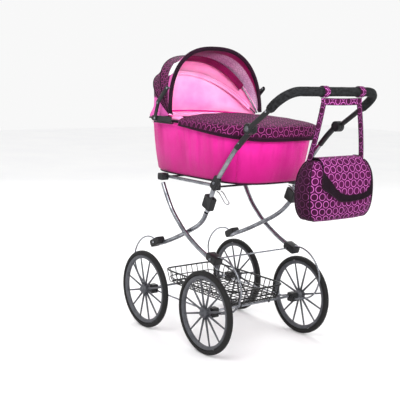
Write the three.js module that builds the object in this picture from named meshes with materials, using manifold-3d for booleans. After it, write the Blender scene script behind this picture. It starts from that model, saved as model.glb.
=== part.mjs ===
// A doll's pram: sprung wire chassis with four spoked wheels, crossed legs, a fabric carrycot with
// a folding hood and a foot cover, an adjustable push handle, a wire tray and a shoulder bag.
// Millimetres, +Z up, +X towards the push handle, -Y the left side for the person who pushes.
import * as THREE from 'three';
import { mergeVertices } from 'three/addons/utils/BufferGeometryUtils.js';
import Module from 'manifold-3d';

const wasm = await Module();
wasm.setup();

// ---------------------------------------------------------------- driving dimensions
const ORIGIN_SHIFT = -105;            // moves the middle of the whole pram over the origin
const CLEAR = 0.3;                    // gap between pieces that touch
const WHEEL_FACETS = 28;              // a multiple of four, so that the wheel stands at its full radius

const WHEEL = { radius: 135, base: 345, track: 414, tyreSeat: 119, tyreWidth: 20, rimInner: 108,
  rimWidth: 15, hubRadius: 17, hubLength: 32, bore: 4.8, spokes: 12 };
const AXLE_RADIUS = 4;
const HUB_X = WHEEL.base / 2;
const HUB_Z = WHEEL.radius;

const SPRING = { radius: 2.8, y: 168, reach: 300, underAxle: HUB_Z - 8 };
const TUBE_RADIUS = 7.5;
const LEG_OUTER_Y = 176;              // rear legs, which pass outside the front legs
const LEG_INNER_Y = 159;
const CROSSING = { x: 12, z: 367 };
const FRONT_CLAMP = { x: -158, z: 299, tilt: 27 };
const REAR_CLAMP = { x: 163, z: 301, tilt: -18 };
const RAIL = { y: 157, z: 541, front: -128, rear: 158 };
const HANDLE_PIVOT = { x: 172, z: 548 };
const HANDLE_Y = 177;
const LOCK = { x: 141, z: 474 };
const TILT_PIVOT = { x: 335, z: 728 };
const GRIP = { y: 190, x: 492, z: 842, foam: 14, tube: 8 };

const COT = { frontCentre: -55, rearCentre: 60, bottom: 546, rim: 722, power: 3.2, wall: 4 };
const COT_LEVELS = [                  // height, front end, rear end, half width
  [546, -236, 258, 150], [556, -250, 272, 160], [600, -257, 283, 168],
  [660, -262, 294, 176], [702, -267, 303, 181], [722, -272, 308, 183]];
const APRON = { front: -15, rise: 24, proud: 6, sheet: 3 };

const HOOD = { pivotX: -55, pivotZ: 742, wire: 3, sheet: 3, power: 2.5, foot: 12 };
const HOOD_SECTIONS = {               // angle above level, length from the pivot, half width
  front: { angle: 85.3, length: 231, halfWidth: 199 },
  mid: { angle: 51.4, length: 267, halfWidth: 195 },
  back: { angle: 32.8, length: 277, halfWidth: 192 },
  rim: { angle: -1.0, length: 238, halfWidth: 190 } };
const STAY = { base: [-130, 733], elbow: [-111, 785], top: [-57, 835], width: 13 };

const BAG = { x: 482, y: 28, top: 645, bottom: 468, wall: 3 };
const BAG_LEVELS = [                  // height, half depth, half width
  [468, 20, 96], [482, 28, 120], [540, 31, 131], [600, 30, 131], [634, 25, 120], [645, 15, 106]];
const LOOPS = [{ y: -45, bagY: -84 }, { y: 104, bagY: 136 }];
const STRAP_WIDTH = 20;
const FLAP_WIDTH = 181;

// ---------------------------------------------------------------- colours
const finish = (color, roughness, metalness) => ({ color, roughness, metalness });
const CHROME = finish(0xb9bcc2, 0.2, 1.0);
const BLACK_PLASTIC = finish(0x17171a, 0.5, 0.0);
const WHEEL_GREY = finish(0x55565a, 0.5, 0.2);
const RUBBER = finish(0x131314, 0.8, 0.0);
const WIRE_BLACK = finish(0x1b1b1e, 0.4, 0.4);
const FOAM = finish(0x1d1e20, 0.9, 0.0);
const PINK = finish(0xd92f92, 0.7, 0.0);
const LINING = finish(0xff8fc8, 0.75, 0.0);
const PATTERN = finish(0x6b1450, 0.7, 0.0);
const BINDING = finish(0x1d0a18, 0.7, 0.0);

// ---------------------------------------------------------------- scene helpers
const pram = new THREE.Group();
pram.position.x = ORIGIN_SHIFT;

function addPart(name, geometry, look) {
  const material = new THREE.MeshStandardMaterial(look);
  const mesh = new THREE.Mesh(geometry, material);
  mesh.name = name;
  pram.add(mesh);
  return mesh;
}

const SIDES = [{ name: 'left', sign: -1 }, { name: 'right', sign: 1 }];
const ENDS = [{ name: 'front', sign: -1 }, { name: 'rear', sign: 1 }];
const v3 = (x, y, z) => new THREE.Vector3(x, y, z);
const onSide = (points, sign) => points.map(([x, y, z]) => v3(x, sign * y, z));

// ---------------------------------------------------------------- boolean helpers
function toSolid(geometry) {
  const bare = geometry.clone();
  bare.deleteAttribute('normal');
  bare.deleteAttribute('uv');
  const merged = mergeVertices(bare, 1e-3);
  const vertProperties = new Float32Array(merged.attributes.position.array);
  const triVerts = new Uint32Array(merged.index.array);
  return new wasm.Manifold(new wasm.Mesh({ numProp: 3, vertProperties, triVerts }));
}

function toGeometry(solid) {
  const { vertProperties, triVerts } = solid.getMesh();
  const geometry = new THREE.BufferGeometry();
  geometry.setAttribute('position', new THREE.BufferAttribute(new Float32Array(vertProperties), 3));
  geometry.setIndex(new THREE.BufferAttribute(new Uint32Array(triVerts), 1));
  geometry.computeVertexNormals();
  return geometry;
}

const join = (...geometries) => toGeometry(geometries.map(toSolid).reduce((a, b) => a.add(b)));
const cut = (body, ...tools) => toGeometry(
  tools.map(toSolid).reduce((left, tool) => left.subtract(tool), toSolid(body)));

// ---------------------------------------------------------------- shape helpers
function tube(points, radius, { steps = 24, sides = 10, bore = 0 } = {}) {
  const path = new THREE.CatmullRomCurve3(points, false, 'centripetal');
  return tubeOn(path, radius, { steps, sides, bore });
}

function tubeOn(path, radius, { steps = 1, sides = 10, bore = 0 } = {}) {
  const section = new THREE.Shape(circle(radius, sides));
  if (bore > 0) section.holes.push(new THREE.Path(circle(bore, sides)));
  return new THREE.ExtrudeGeometry(section,
    { steps, extrudePath: path, bevelEnabled: false, curveSegments: 1 });
}

function circle(radius, sides) {
  return Array.from({ length: sides }, (_, i) => {
    const a = (2 * Math.PI * (i + 0.5)) / sides;
    return new THREE.Vector2(radius * Math.cos(a), radius * Math.sin(a));
  });
}

// The same run of tube, a little fatter and longer at both ends, to cut its hole in a fitting.
function tubeHole(points, radius, options) {
  const first = points[0].clone().lerp(points[1], -0.2);
  const last = points[points.length - 1].clone().lerp(points[points.length - 2], -0.2);
  return tube([first, ...points, last], radius + CLEAR + 0.3, options);
}

const rod = (from, to, radius, sides = 12) =>
  tubeOn(new THREE.LineCurve3(from, to), radius, { sides });

function box(dx, dy, dz, x, y, z, tilt = 0) {
  const geometry = new THREE.BoxGeometry(dx, dy, dz);
  geometry.rotateY(-THREE.MathUtils.degToRad(tilt));
  return geometry.translate(x, y, z);
}

// A closed skin over rings of points that all have the same count: it has flat ends, or runs
// round from the last ring to the first.
function loft(rings, round = false) {
  const count = rings[0].length;
  const vertices = rings.flat().flatMap((p) => [p.x, p.y, p.z]);
  const index = [];
  for (let k = 0; k < rings.length - (round ? 0 : 1); k++) {
    const next = (k + 1) % rings.length;
    for (let i = 0; i < count; i++) {
      const j = (i + 1) % count;
      index.push(k * count + i, k * count + j, next * count + j);
      index.push(k * count + i, next * count + j, next * count + i);
    }
  }
  for (const [ring, flip] of round ? [] : [[0, true], [rings.length - 1, false]]) {
    const middle = rings[ring].reduce((s, p) => s.add(p), v3(0, 0, 0)).divideScalar(count);
    const hub = vertices.length / 3;
    vertices.push(middle.x, middle.y, middle.z);
    for (let i = 0; i < count; i++) {
      const a = ring * count + i;
      const b = ring * count + ((i + 1) % count);
      index.push(...(flip ? [hub, b, a] : [hub, a, b]));
    }
  }
  const geometry = new THREE.BufferGeometry();
  geometry.setAttribute('position', new THREE.Float32BufferAttribute(vertices, 3));
  geometry.setIndex(index);
  geometry.computeVertexNormals();
  return geometry;
}

// A sheet of even thickness between two matching grids of points.
function sheet(outer, inner) {
  const rows = outer.length;
  const columns = outer[0].length;
  const vertices = [outer, inner].flat(2).flatMap((p) => [p.x, p.y, p.z]);
  const at = (side, i, j) => side * rows * columns + i * columns + j;
  const index = [];
  const quad = (a, b, c, d) => index.push(a, b, c, a, c, d);
  for (let i = 0; i < rows - 1; i++) {
    for (let j = 0; j < columns - 1; j++) {
      quad(at(0, i, j), at(0, i, j + 1), at(0, i + 1, j + 1), at(0, i + 1, j));
      quad(at(1, i, j), at(1, i + 1, j), at(1, i + 1, j + 1), at(1, i, j + 1));
    }
    quad(at(0, i, 0), at(0, i + 1, 0), at(1, i + 1, 0), at(1, i, 0));
    quad(at(0, i, columns - 1), at(1, i, columns - 1), at(1, i + 1, columns - 1),
      at(0, i + 1, columns - 1));
  }
  for (let j = 0; j < columns - 1; j++) {
    quad(at(0, 0, j), at(1, 0, j), at(1, 0, j + 1), at(0, 0, j + 1));
    quad(at(0, rows - 1, j), at(0, rows - 1, j + 1), at(1, rows - 1, j + 1), at(1, rows - 1, j));
  }
  const geometry = new THREE.BufferGeometry();
  geometry.setAttribute('position', new THREE.Float32BufferAttribute(vertices, 3));
  geometry.setIndex(index);
  geometry.computeVertexNormals();
  return geometry;
}

const rounded = (value, power) => Math.sign(value) * Math.abs(value) ** (2 / power);

// ---------------------------------------------------------------- wheels
function wheelGeometry(outward) {
  const half = WHEEL.hubLength / 2;
  const hub = new THREE.LatheGeometry([
    [0, half - 4], [WHEEL.bore, half - 4], [WHEEL.bore, -half], [11, -half],
    [WHEEL.hubRadius, -half + 8], [WHEEL.hubRadius, half - 12], [11, half], [6, half + 4],
    [0, half + 4],
  ].map(([r, h]) => new THREE.Vector2(r, h)), 12);
  const w = WHEEL.rimWidth / 2;
  const rim = new THREE.LatheGeometry([
    [WHEEL.rimInner, -w + 3], [WHEEL.tyreSeat - 2, -w], [WHEEL.tyreSeat, -w + 2],
    [WHEEL.tyreSeat, w - 2], [WHEEL.tyreSeat - 2, w], [WHEEL.rimInner, w - 3],
    [WHEEL.rimInner, -w + 3]].map(([r, h]) => new THREE.Vector2(r, h)), WHEEL_FACETS);
  const spokes = [];
  for (let i = 0; i < WHEEL.spokes; i++) {
    const length = WHEEL.rimInner - 10;
    const spoke = new THREE.CylinderGeometry(2.6, 3.4, length, 4, 1);
    spoke.translate(0, length / 2 + 14, 0);
    spoke.rotateX(Math.PI / 2);
    spoke.rotateY((2 * Math.PI * (i + 0.5)) / WHEEL.spokes);
    spokes.push(spoke);
  }
  const wheel = join(hub, rim, ...spokes);
  if (outward < 0) wheel.rotateX(Math.PI);
  return wheel;
}

function tyreGeometry() {
  const w = WHEEL.tyreWidth / 2;
  const seat = WHEEL.tyreSeat + CLEAR + 0.6;
  return new THREE.LatheGeometry([
    [seat, -w + 4], [seat + 5, -w], [WHEEL.radius - 5, -w + 2], [WHEEL.radius, 0],
    [WHEEL.radius - 5, w - 2], [seat + 5, w], [seat, w - 4], [seat, -w + 4],
  ].map(([r, h]) => new THREE.Vector2(r, h)), WHEEL_FACETS);
}

for (const end of ENDS) {
  for (const side of SIDES) {
    const place = [end.sign * HUB_X, (side.sign * WHEEL.track) / 2, HUB_Z];
    addPart(`wheel_${end.name}_${side.name}`, wheelGeometry(side.sign), WHEEL_GREY)
      .position.set(...place);
    addPart(`tyre_${end.name}_${side.name}`, tyreGeometry(), RUBBER).position.set(...place);
  }
}

// ---------------------------------------------------------------- axles, springs and clamps
// Half of one spring, from the leg clamp round the C and under the axle. The wire is the same
// at both ends of the pram.
function springHalf(clamp, sign) {
  const { reach, underAxle, y } = SPRING;
  return [[sign * 174, y, clamp.z + 7], [sign * 192, y, 312], [sign * 220, y, 310],
    [sign * 256, y, 295], [sign * 287, y, 264], [sign * reach, y, 232], [sign * 297, y, 200],
    [sign * 282, y, 170], [sign * 256, y, 149], [sign * 222, y, 137],
    [sign * (HUB_X + 10), y, underAxle + 1], [sign * (HUB_X - 12), y, underAxle]];
}

const springPath = (side) => onSide(
  [...springHalf(FRONT_CLAMP, -1), ...springHalf(REAR_CLAMP, 1).reverse()], side.sign);
for (const side of SIDES) {
  addPart(`spring_${side.name}`,
    tube(springPath(side), SPRING.radius, { steps: 52, sides: 6 }), CHROME);
}

const springHole = (side) => tubeHole(springPath(side), SPRING.radius, { steps: 54, sides: 6 });
const AXLE_END = WHEEL.track / 2 + WHEEL.hubLength / 2 - 6;
for (const end of ENDS) {
  const x = end.sign * HUB_X;
  const axle = rod(v3(x, -AXLE_END, HUB_Z), v3(x, AXLE_END, HUB_Z), AXLE_RADIUS);
  const blocks = SIDES.map(({ sign }) => box(26, 26, 30, x, sign * 172, HUB_Z - 3));
  addPart(`axle_${end.name}`, cut(join(axle, ...blocks), ...SIDES.map(springHole)), CHROME);
}

const LEG_B_POINTS = [[-164, LEG_INNER_Y, 293], [-130, LEG_INNER_Y, 304], [-57, LEG_INNER_Y, 334],
  [CROSSING.x, LEG_INNER_Y, CROSSING.z], [71, 163, 398], [106, 170, 424], [128, HANDLE_Y, 449]];
const LEG_A_POINTS = [[-118, LEG_OUTER_Y, 514], [-104, LEG_OUTER_Y, 490], [-62, LEG_OUTER_Y, 430],
  [-20, LEG_OUTER_Y, 391], [CROSSING.x, LEG_OUTER_Y, CROSSING.z], [50, LEG_OUTER_Y, 345],
  [98, LEG_OUTER_Y, 322], [150, LEG_OUTER_Y, 304], [166, LEG_OUTER_Y, 299]];

function legTube(points, side) {
  return tube(onSide(points, side.sign), TUBE_RADIUS, { steps: 12, sides: 8 });
}

for (const side of SIDES) {
  addPart(`front_leg_${side.name}`, legTube(LEG_B_POINTS, side), CHROME);
  const rivet = rod(v3(CROSSING.x, side.sign * LEG_OUTER_Y, CROSSING.z),
    v3(CROSSING.x, side.sign * (LEG_OUTER_Y + 11), CROSSING.z), 5);
  addPart(`rear_leg_${side.name}`, join(legTube(LEG_A_POINTS, side), rivet), CHROME);
  const clampY = side.sign * 168;
  for (const [end, clamp, leg] of [['front', FRONT_CLAMP, LEG_B_POINTS],
    ['rear', REAR_CLAMP, LEG_A_POINTS]]) {
    const block = box(50, 36, 25, clamp.x, clampY, clamp.z + 3, clamp.tilt);
    addPart(`clamp_${end}_${side.name}`,
      cut(block, tubeHole(onSide(leg, side.sign), TUBE_RADIUS, { steps: 14, sides: 8 }),
        springHole(side)), BLACK_PLASTIC);
  }
}

const CROSS_ROD_END = 150 - CLEAR;
addPart('cross_rod_rear', rod(v3(REAR_CLAMP.x, -CROSS_ROD_END, REAR_CLAMP.z + 2),
  v3(REAR_CLAMP.x, CROSS_ROD_END, REAR_CLAMP.z + 2), 2.6, 8), CHROME);

// ---------------------------------------------------------------- rails under the carrycot
for (const side of SIDES) {
  const y = side.sign * RAIL.y;
  addPart(`rail_${side.name}`, rod(v3(RAIL.front + 14.4, y, RAIL.z - 6),
    v3(RAIL.rear - 13.4, y, RAIL.z - 6), 5.5, 10), CHROME);
}
function crossBar(x, fitting) {
  const bar = rod(v3(x, -fitting.y, RAIL.z - 8), v3(x, fitting.y, RAIL.z - 8), 3.2, 10);
  const ends = SIDES.map(({ sign }) =>
    box(fitting.dx, fitting.dy, 23, x, sign * fitting.y, RAIL.z - 6.5));
  return join(bar, ...ends);
}
addPart('cross_bar_front', crossBar(RAIL.front, { y: 169, dx: 28, dy: 30 }), BLACK_PLASTIC);
addPart('cross_bar_rear', crossBar(RAIL.rear, { y: 160.5, dx: 26, dy: 14 }), BLACK_PLASTIC);

// ---------------------------------------------------------------- wire tray
function trayRing(halfX, halfY, z) {
  return Array.from({ length: 24 }, (_, i) => {
    const a = (2 * Math.PI * i) / 24;
    return v3(halfX * rounded(Math.cos(a), 9), halfY * rounded(Math.sin(a), 9), z);
  });
}
addPart('tray', loft([trayRing(186, 100, 143), trayRing(200, 113, 193), trayRing(197, 110, 193),
  trayRing(183, 97, 146)]), WIRE_BLACK);

// ---------------------------------------------------------------- push handle
const HANDLE_POINTS = [[132, HANDLE_Y, 452], [141, HANDLE_Y, 474], [156, HANDLE_Y, 514],
  [HANDLE_PIVOT.x, HANDLE_Y, HANDLE_PIVOT.z], [214, HANDLE_Y, 601], [262, HANDLE_Y, 659],
  [285, HANDLE_Y, 683]];
const handlePath = (side) => onSide(HANDLE_POINTS, side.sign);
const handleHole = (side, extra = 0) =>
  tubeHole(handlePath(side), TUBE_RADIUS + extra, { steps: 14, sides: 8 });
const TILT_ANGLE = 42.7;

for (const side of SIDES) {
  addPart(`handle_tube_${side.name}`,
    tube(handlePath(side), TUBE_RADIUS, { steps: 12, sides: 8 }), CHROME);
  const y = side.sign * HANDLE_Y;
  const pivotClamp = box(26, 17, 46, HANDLE_PIVOT.x, side.sign * 178, HANDLE_PIVOT.z, -35);
  addPart(`handle_pivot_${side.name}`, cut(pivotClamp, handleHole(side)),
    BLACK_PLASTIC);
  const disc = rod(v3(TILT_PIVOT.x, side.sign * 169, TILT_PIVOT.z),
    v3(TILT_PIVOT.x, side.sign * 181.6, TILT_PIVOT.z), 17, 20);
  const sleeve = rod(v3(268, y, 665.5), v3(TILT_PIVOT.x - 6, y, TILT_PIVOT.z - 5.5), 10, 12);
  const trimmed = cut(sleeve, box(200, 20, 200, TILT_PIVOT.x, side.sign * (181.6 + 10), 700));
  addPart(`tilt_housing_${side.name}`,
    cut(join(disc, trimmed), handleHole(side)), BLACK_PLASTIC);
  const lockBlock = box(44, 24, 40, LOCK.x, side.sign * HANDLE_Y, LOCK.z + 8, TILT_ANGLE + 24);
  addPart(`lock_sleeve_${side.name}`, cut(lockBlock, handleHole(side, 0.5)),
    BLACK_PLASTIC);
}

const ARM_POINTS = [[TILT_PIVOT.x + 8, GRIP.y, TILT_PIVOT.z + 5.5], [378, GRIP.y, 757],
  [420, GRIP.y, 786], [452, GRIP.y, 810], [474, 181, 827], [487, 163, 838],
  [GRIP.x, 141, GRIP.z], [GRIP.x, 119, GRIP.z], [GRIP.x, 60, GRIP.z]];
const across = (points) => [...onSide(points, -1), ...onSide(points, 1).reverse()];
const tiltDiscs = SIDES.map(({ sign }) => rod(v3(TILT_PIVOT.x, sign * 182.2, TILT_PIVOT.z),
  v3(TILT_PIVOT.x, sign * 197, TILT_PIVOT.z), 17, 20));
const buttonHoles = SIDES.map(({ sign }) => rod(v3(TILT_PIVOT.x, sign * 190.5, TILT_PIVOT.z),
  v3(TILT_PIVOT.x, sign * 198, TILT_PIVOT.z), 9, 16));
addPart('grip_tube', cut(join(tube(across(ARM_POINTS), GRIP.tube, { steps: 36, sides: 8 }), ...tiltDiscs),
  ...buttonHoles), BLACK_PLASTIC);
const foamPath = across([[429, GRIP.y, 792.5], ...ARM_POINTS.slice(3)]);
addPart('foam_grip', tube(foamPath, GRIP.foam, { steps: 26, sides: 10, bore: 9 }), FOAM);
for (const { name, sign } of SIDES) {
  addPart(`tilt_button_${name}`, rod(v3(TILT_PIVOT.x, sign * 194, TILT_PIVOT.z),
    v3(TILT_PIVOT.x, sign * 200, TILT_PIVOT.z), 8.4, 16), BLACK_PLASTIC);
}

// ---------------------------------------------------------------- wire catches under the rails
for (const { name, sign } of SIDES) {
  const inner = 146;
  const outer = 162;
  const catchPath = onSide([[160, inner, 519], [170, inner, 516], [190, inner, 498],
    [202, inner, 487], [205, inner + 4, 484], [205, outer - 4, 484], [202, outer, 487],
    [190, outer, 498], [170, outer, 516], [160, outer, 519]], sign);
  addPart(`catch_${name}`, tube(catchPath, 1.6, { steps: 16, sides: 6 }), CHROME);
}

// ---------------------------------------------------------------- carrycot
// The outline at one height: straight sides between two rounded ends.
function cotRing([z, front, rear, halfWidth], grow = 0, count = 36) {
  return Array.from({ length: count }, (_, i) => {
    const a = (2 * Math.PI * (i + 0.5)) / count;
    const c = rounded(Math.cos(a), COT.power);
    const reach = c > 0 ? rear + grow - COT.rearCentre : COT.frontCentre - front + grow;
    const middle = c > 0 ? COT.rearCentre : COT.frontCentre;
    return v3(middle + reach * c, (halfWidth + grow) * rounded(Math.sin(a), COT.power), z);
  });
}

const cotOutside = COT_LEVELS.map((level) => cotRing(level));
const cotInside = COT_LEVELS.map((level) => cotRing(level, -COT.wall)).reverse();
const cotFloor = cotRing([COT.bottom + 7, ...COT_LEVELS[1].slice(1)], -COT.wall);
addPart('cot_body', loft([...cotOutside, ...cotInside.slice(0, -2), cotFloor]), PINK);

const RIM_LEVEL = COT_LEVELS[COT_LEVELS.length - 1].slice(1);
const rimRing = (z, grow) => cotRing([z, ...RIM_LEVEL], grow);
addPart('cot_rim_binding', loft([rimRing(COT.rim + CLEAR, -5), rimRing(COT.rim + CLEAR, 2.5),
  rimRing(COT.rim + 4, 4), rimRing(COT.rim + 8, 2.5), rimRing(COT.rim + 8, -5)], true), BINDING);

addPart('mattress', loft([[554, -12], [560, -8], [572, -8], [578, -14]].map(([z, grow]) =>
  cotRing([z, ...COT_LEVELS[1].slice(1)], grow))), LINING);

// ---------------------------------------------------------------- foot cover
function apronRing(scale, z, drop, grow) {
  return cotRing([0, ...RIM_LEVEL], grow).map((p) => {
    const along = THREE.MathUtils.clamp((p.x - APRON.front) / 325, 0, 1);
    return v3(APRON.front + (p.x - APRON.front) * scale, p.y * scale, z - drop * along);
  });
}
function apronSolid(grow, hem, lift) {
  const rings = [[1, 731, 0], [0.94, 737, 2], [0.75, 746, 2], [0.45, 752, 1], [0.12, 754, 0]];
  return loft([apronRing(1, hem, 30, grow),
    ...rings.map(([scale, z, drop]) => apronRing(scale, z + lift, drop, grow))]);
}
const forward = box(400, 500, 400, APRON.front - 200, 0, 700);
const APRON_HEM = 716;
addPart('foot_cover', cut(apronSolid(APRON.proud + APRON.sheet, APRON_HEM, APRON.sheet),
  apronSolid(APRON.proud, APRON_HEM - 40, 0), forward), PATTERN);

// ---------------------------------------------------------------- hood
const HOOD_POINTS = 22;
// One arch of the hood: it starts at the foot on the left, rises over the top and ends on the
// right. The arch lies in a plane through the hood's pivot line.
function arch({ angle, length, halfWidth }, inset = 0, from = 0) {
  const a = THREE.MathUtils.degToRad(angle);
  return Array.from({ length: HOOD_POINTS + 1 }, (_, i) => {
    const t = from + ((Math.PI - 2 * from) * i) / HOOD_POINTS;
    const out = (length - inset) * rounded(Math.sin(t), HOOD.power);
    const y = -(halfWidth - inset) * rounded(Math.cos(t), HOOD.power);
    return v3(HOOD.pivotX - out * Math.cos(a), y, HOOD.pivotZ + out * Math.sin(a));
  });
}

const between = (a, b, t) => ({ angle: THREE.MathUtils.lerp(a.angle, b.angle, t),
  length: THREE.MathUtils.lerp(a.length, b.length, t),
  halfWidth: THREE.MathUtils.lerp(a.halfWidth, b.halfWidth, t) });
const SHEET_FROM = 0.05;
const { front, mid, back, rim } = HOOD_SECTIONS;
function hoodPanel(sections) {
  return sheet(sections.map((s) => arch(s, 0, SHEET_FROM)),
    sections.map((s) => arch(s, HOOD.sheet, SHEET_FROM)));
}
const panelSteps = (a, b, count, first = 0) => Array.from({ length: count + 1 - first },
  (_, i) => between(a, b, (i + first) / count));
addPart('hood_front_panel', hoodPanel([between(front, mid, -0.02),
  ...panelSteps(front, mid, 4).slice(1, 4), between(front, mid, 0.96)]), PATTERN);
addPart('hood_back_panel', hoodPanel([between(mid, back, 0.04), between(mid, back, 0.5), back,
  between(back, rim, 0.35), between(back, rim, 0.7), between(back, rim, 0.97)]), PATTERN);

const HOOP_INSET = HOOD.sheet + HOOD.wire + 0.8;
for (const [name, section, footY] of [['front', front, 192.2], ['middle', mid, 185.4],
  ['back', back, 178.6]]) {
  const path = arch({ ...section, length: section.length - HOOP_INSET, halfWidth: footY }, 0, 0.02);
  addPart(`hood_hoop_${name}`, tube(path, HOOD.wire, { steps: 24, sides: 6 }), CHROME);
}

for (const { name, sign } of SIDES) {
  const plate = box(130, 4, 34, -95, sign * 202, 735);
  const holder = box(100, 12, 5, -95, sign * 194.5, 720);
  addPart(`hood_plate_${name}`, join(plate, holder), BLACK_PLASTIC);
}

function stayLink(from, to, side, y) {
  const [dx, dz] = [to[0] - from[0], to[1] - from[1]];
  const length = Math.hypot(dx, dz);
  const tilt = THREE.MathUtils.radToDeg(Math.atan2(dz, dx));
  const bar = box(length + STAY.width, 2.4, STAY.width, (from[0] + to[0]) / 2, side * y,
    (from[1] + to[1]) / 2, tilt);
  return bar;
}
for (const { name, sign } of SIDES) {
  const lower = stayLink(STAY.base, STAY.elbow, sign, 206);
  const upper = stayLink(STAY.elbow, STAY.top, sign, 209);
  const pin = (at, y0, y1) => rod(v3(at[0], sign * y0, at[1]), v3(at[0], sign * y1, at[1]), 3, 10);
  addPart(`stay_lower_${name}`, lower, BLACK_PLASTIC);
  addPart(`stay_upper_${name}`, join(upper, pin(STAY.top, 200, 212), pin(STAY.elbow, 208, 212)),
    BLACK_PLASTIC);
}

// ---------------------------------------------------------------- bag
function bagRing([z, halfDepth, halfWidth]) {
  return Array.from({ length: 28 }, (_, i) => {
    const a = (2 * Math.PI * (i + 0.5)) / 28;
    return v3(BAG.x + halfDepth * rounded(Math.cos(a), 2.6),
      BAG.y + halfWidth * rounded(Math.sin(a), 4), z);
  });
}
const bagShell = BAG_LEVELS.map((level) => bagRing(level));
const bagLining = BAG_LEVELS.map(([z, depth, width]) => bagRing([z, depth - BAG.wall, width - BAG.wall]));
const bagFloor = bagRing([BAG.bottom + BAG.wall, BAG_LEVELS[0][1] - BAG.wall, BAG_LEVELS[0][2] - BAG.wall]);
addPart('bag_body', loft([...bagShell, ...bagLining.slice(1).reverse(), bagFloor]), PATTERN);

const flapShape = new THREE.Shape([[453, 642], [462, 650], [484, 653], [503, 648], [514, 632],
  [517.5, 600], [517.5, 560], [516.5, 532], [513.8, 532], [514.6, 560], [514.6, 600],
  [511, 631], [501, 645.8], [484, 650.4], [463, 647.4], [454.8, 640.4],
].map(([x, z]) => new THREE.Vector2(x, z)));
const flap = new THREE.ExtrudeGeometry(flapShape, { depth: FLAP_WIDTH, steps: 1, bevelEnabled: false });
flap.rotateX(Math.PI / 2);
flap.translate(0, BAG.y + FLAP_WIDTH / 2 - 1.5, 0);
addPart('bag_flap', flap, PATTERN);

// Two rings turn on the foam, and the strap hangs from them: a strip under the bar and two ends.
LOOPS.forEach(({ y }, i) => {
  const ring = tubeOn(new THREE.LineCurve3(v3(GRIP.x, y - STRAP_WIDTH / 2, GRIP.z),
    v3(GRIP.x, y + STRAP_WIDTH / 2, GRIP.z)), 17, { sides: 16, bore: 14.9 });
  addPart(`bag_ring_${SIDES[i].name}`, ring, PATTERN);
});

const stripTop = GRIP.z - 17 - CLEAR;
const stripDrop = 21;
const strip = box(2.4, LOOPS[1].y - LOOPS[0].y + STRAP_WIDTH, stripDrop, GRIP.x,
  (LOOPS[0].y + LOOPS[1].y) / 2, stripTop - stripDrop / 2);
const strapEnds = LOOPS.map(({ y, bagY }) => {
  const top = v3(GRIP.x, y, stripTop - stripDrop + 5);
  const end = v3(BAG.x, bagY, BAG.top + 4);
  const half = STRAP_WIDTH / 2 - 0.2;
  const ring = (p) => [v3(p.x - 1.1, p.y - half, p.z), v3(p.x + 1.1, p.y - half, p.z),
    v3(p.x + 1.1, p.y + half, p.z), v3(p.x - 1.1, p.y + half, p.z)];
  return loft([ring(end), ring(top)]);
});
addPart('bag_strap', join(strip, ...strapEnds), PATTERN);

export default pram;
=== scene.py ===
# %% [markdown]
# # A doll's pram
# This lesson dresses a doll's pram: spoked wheels on a sprung wire chassis, a fabric carrycot with a
# folding hood and foot cover, a push handle and a shoulder bag. The imported model fixes the size and
# the moving bodies, so every piece is made at its final place, in metres; all but the hood's cloth
# panels and its label ride on a body.

# %% Load the frame
import math

import bmesh
import bpy
import numpy as np
from mathutils import Matrix, Vector, noise


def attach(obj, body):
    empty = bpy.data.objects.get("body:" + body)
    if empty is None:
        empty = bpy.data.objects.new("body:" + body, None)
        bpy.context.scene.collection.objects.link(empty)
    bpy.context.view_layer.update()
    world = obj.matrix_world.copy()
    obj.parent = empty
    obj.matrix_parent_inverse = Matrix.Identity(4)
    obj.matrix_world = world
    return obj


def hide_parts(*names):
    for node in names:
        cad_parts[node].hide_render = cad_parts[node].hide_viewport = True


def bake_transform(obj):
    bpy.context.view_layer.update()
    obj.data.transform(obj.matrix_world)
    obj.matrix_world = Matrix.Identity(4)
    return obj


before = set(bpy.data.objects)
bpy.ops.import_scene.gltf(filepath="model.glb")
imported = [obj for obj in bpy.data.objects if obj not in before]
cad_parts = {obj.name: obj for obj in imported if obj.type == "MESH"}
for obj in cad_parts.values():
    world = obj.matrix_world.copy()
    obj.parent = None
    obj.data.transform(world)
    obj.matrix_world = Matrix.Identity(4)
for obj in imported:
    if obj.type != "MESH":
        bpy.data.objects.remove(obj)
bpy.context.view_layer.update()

SIDES = (("left", -1), ("right", 1))
ENDS = (("front", -1), ("rear", 1))
ORIGIN_SHIFT = 105  # the drawing's zero lies midway between the hubs, the frame's under the whole pram

# %% [markdown]
# The camera stands behind the left rear wheel, a little above the handle, where one look takes in the
# open hood, the bag and the whole chassis. A long lens keeps the wheels round. Three broad soft lamps
# and a pale world give even light, and a fourth small lamp reaches into the hood, whose opaque cloth
# lets through none of the light that real thin cloth would.

# %% Camera
CAMERA_AT = Vector((2.0745, -1.7666, 0.8896))
AZIMUTH, ELEVATION, ROLL = (math.radians(a) for a in (52.7, 8.8, 1.4))
back = Vector((math.sin(AZIMUTH) * math.cos(ELEVATION), -math.cos(AZIMUTH) * math.cos(ELEVATION),
               math.sin(ELEVATION)))
right = (-back).cross(Vector((0, 0, 1))).normalized()
up = right.cross(-back)
tilted_right = right * math.cos(ROLL) + up * math.sin(ROLL)
tilted_up = up * math.cos(ROLL) - right * math.sin(ROLL)
camera = bpy.data.objects.new("camera", bpy.data.cameras.new("camera"))
bpy.context.scene.collection.objects.link(camera)
camera.matrix_world = Matrix.Translation(CAMERA_AT) @ Matrix(
    (tilted_right, tilted_up, back)).transposed().to_4x4()
camera.data.lens, camera.data.sensor_width = 74.56, 36
bpy.context.scene.camera = camera

# %% Lamps, world and floor
def lamp(name, at, target, size, power):
    light = bpy.data.lights.new(name, "AREA")
    light.size, light.energy = size, power
    obj = bpy.data.objects.new(name, light)
    obj.location = at
    obj.rotation_euler = (Vector(target) - Vector(at)).to_track_quat("-Z", "Y").to_euler()
    bpy.context.scene.collection.objects.link(obj)
    return light


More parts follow.
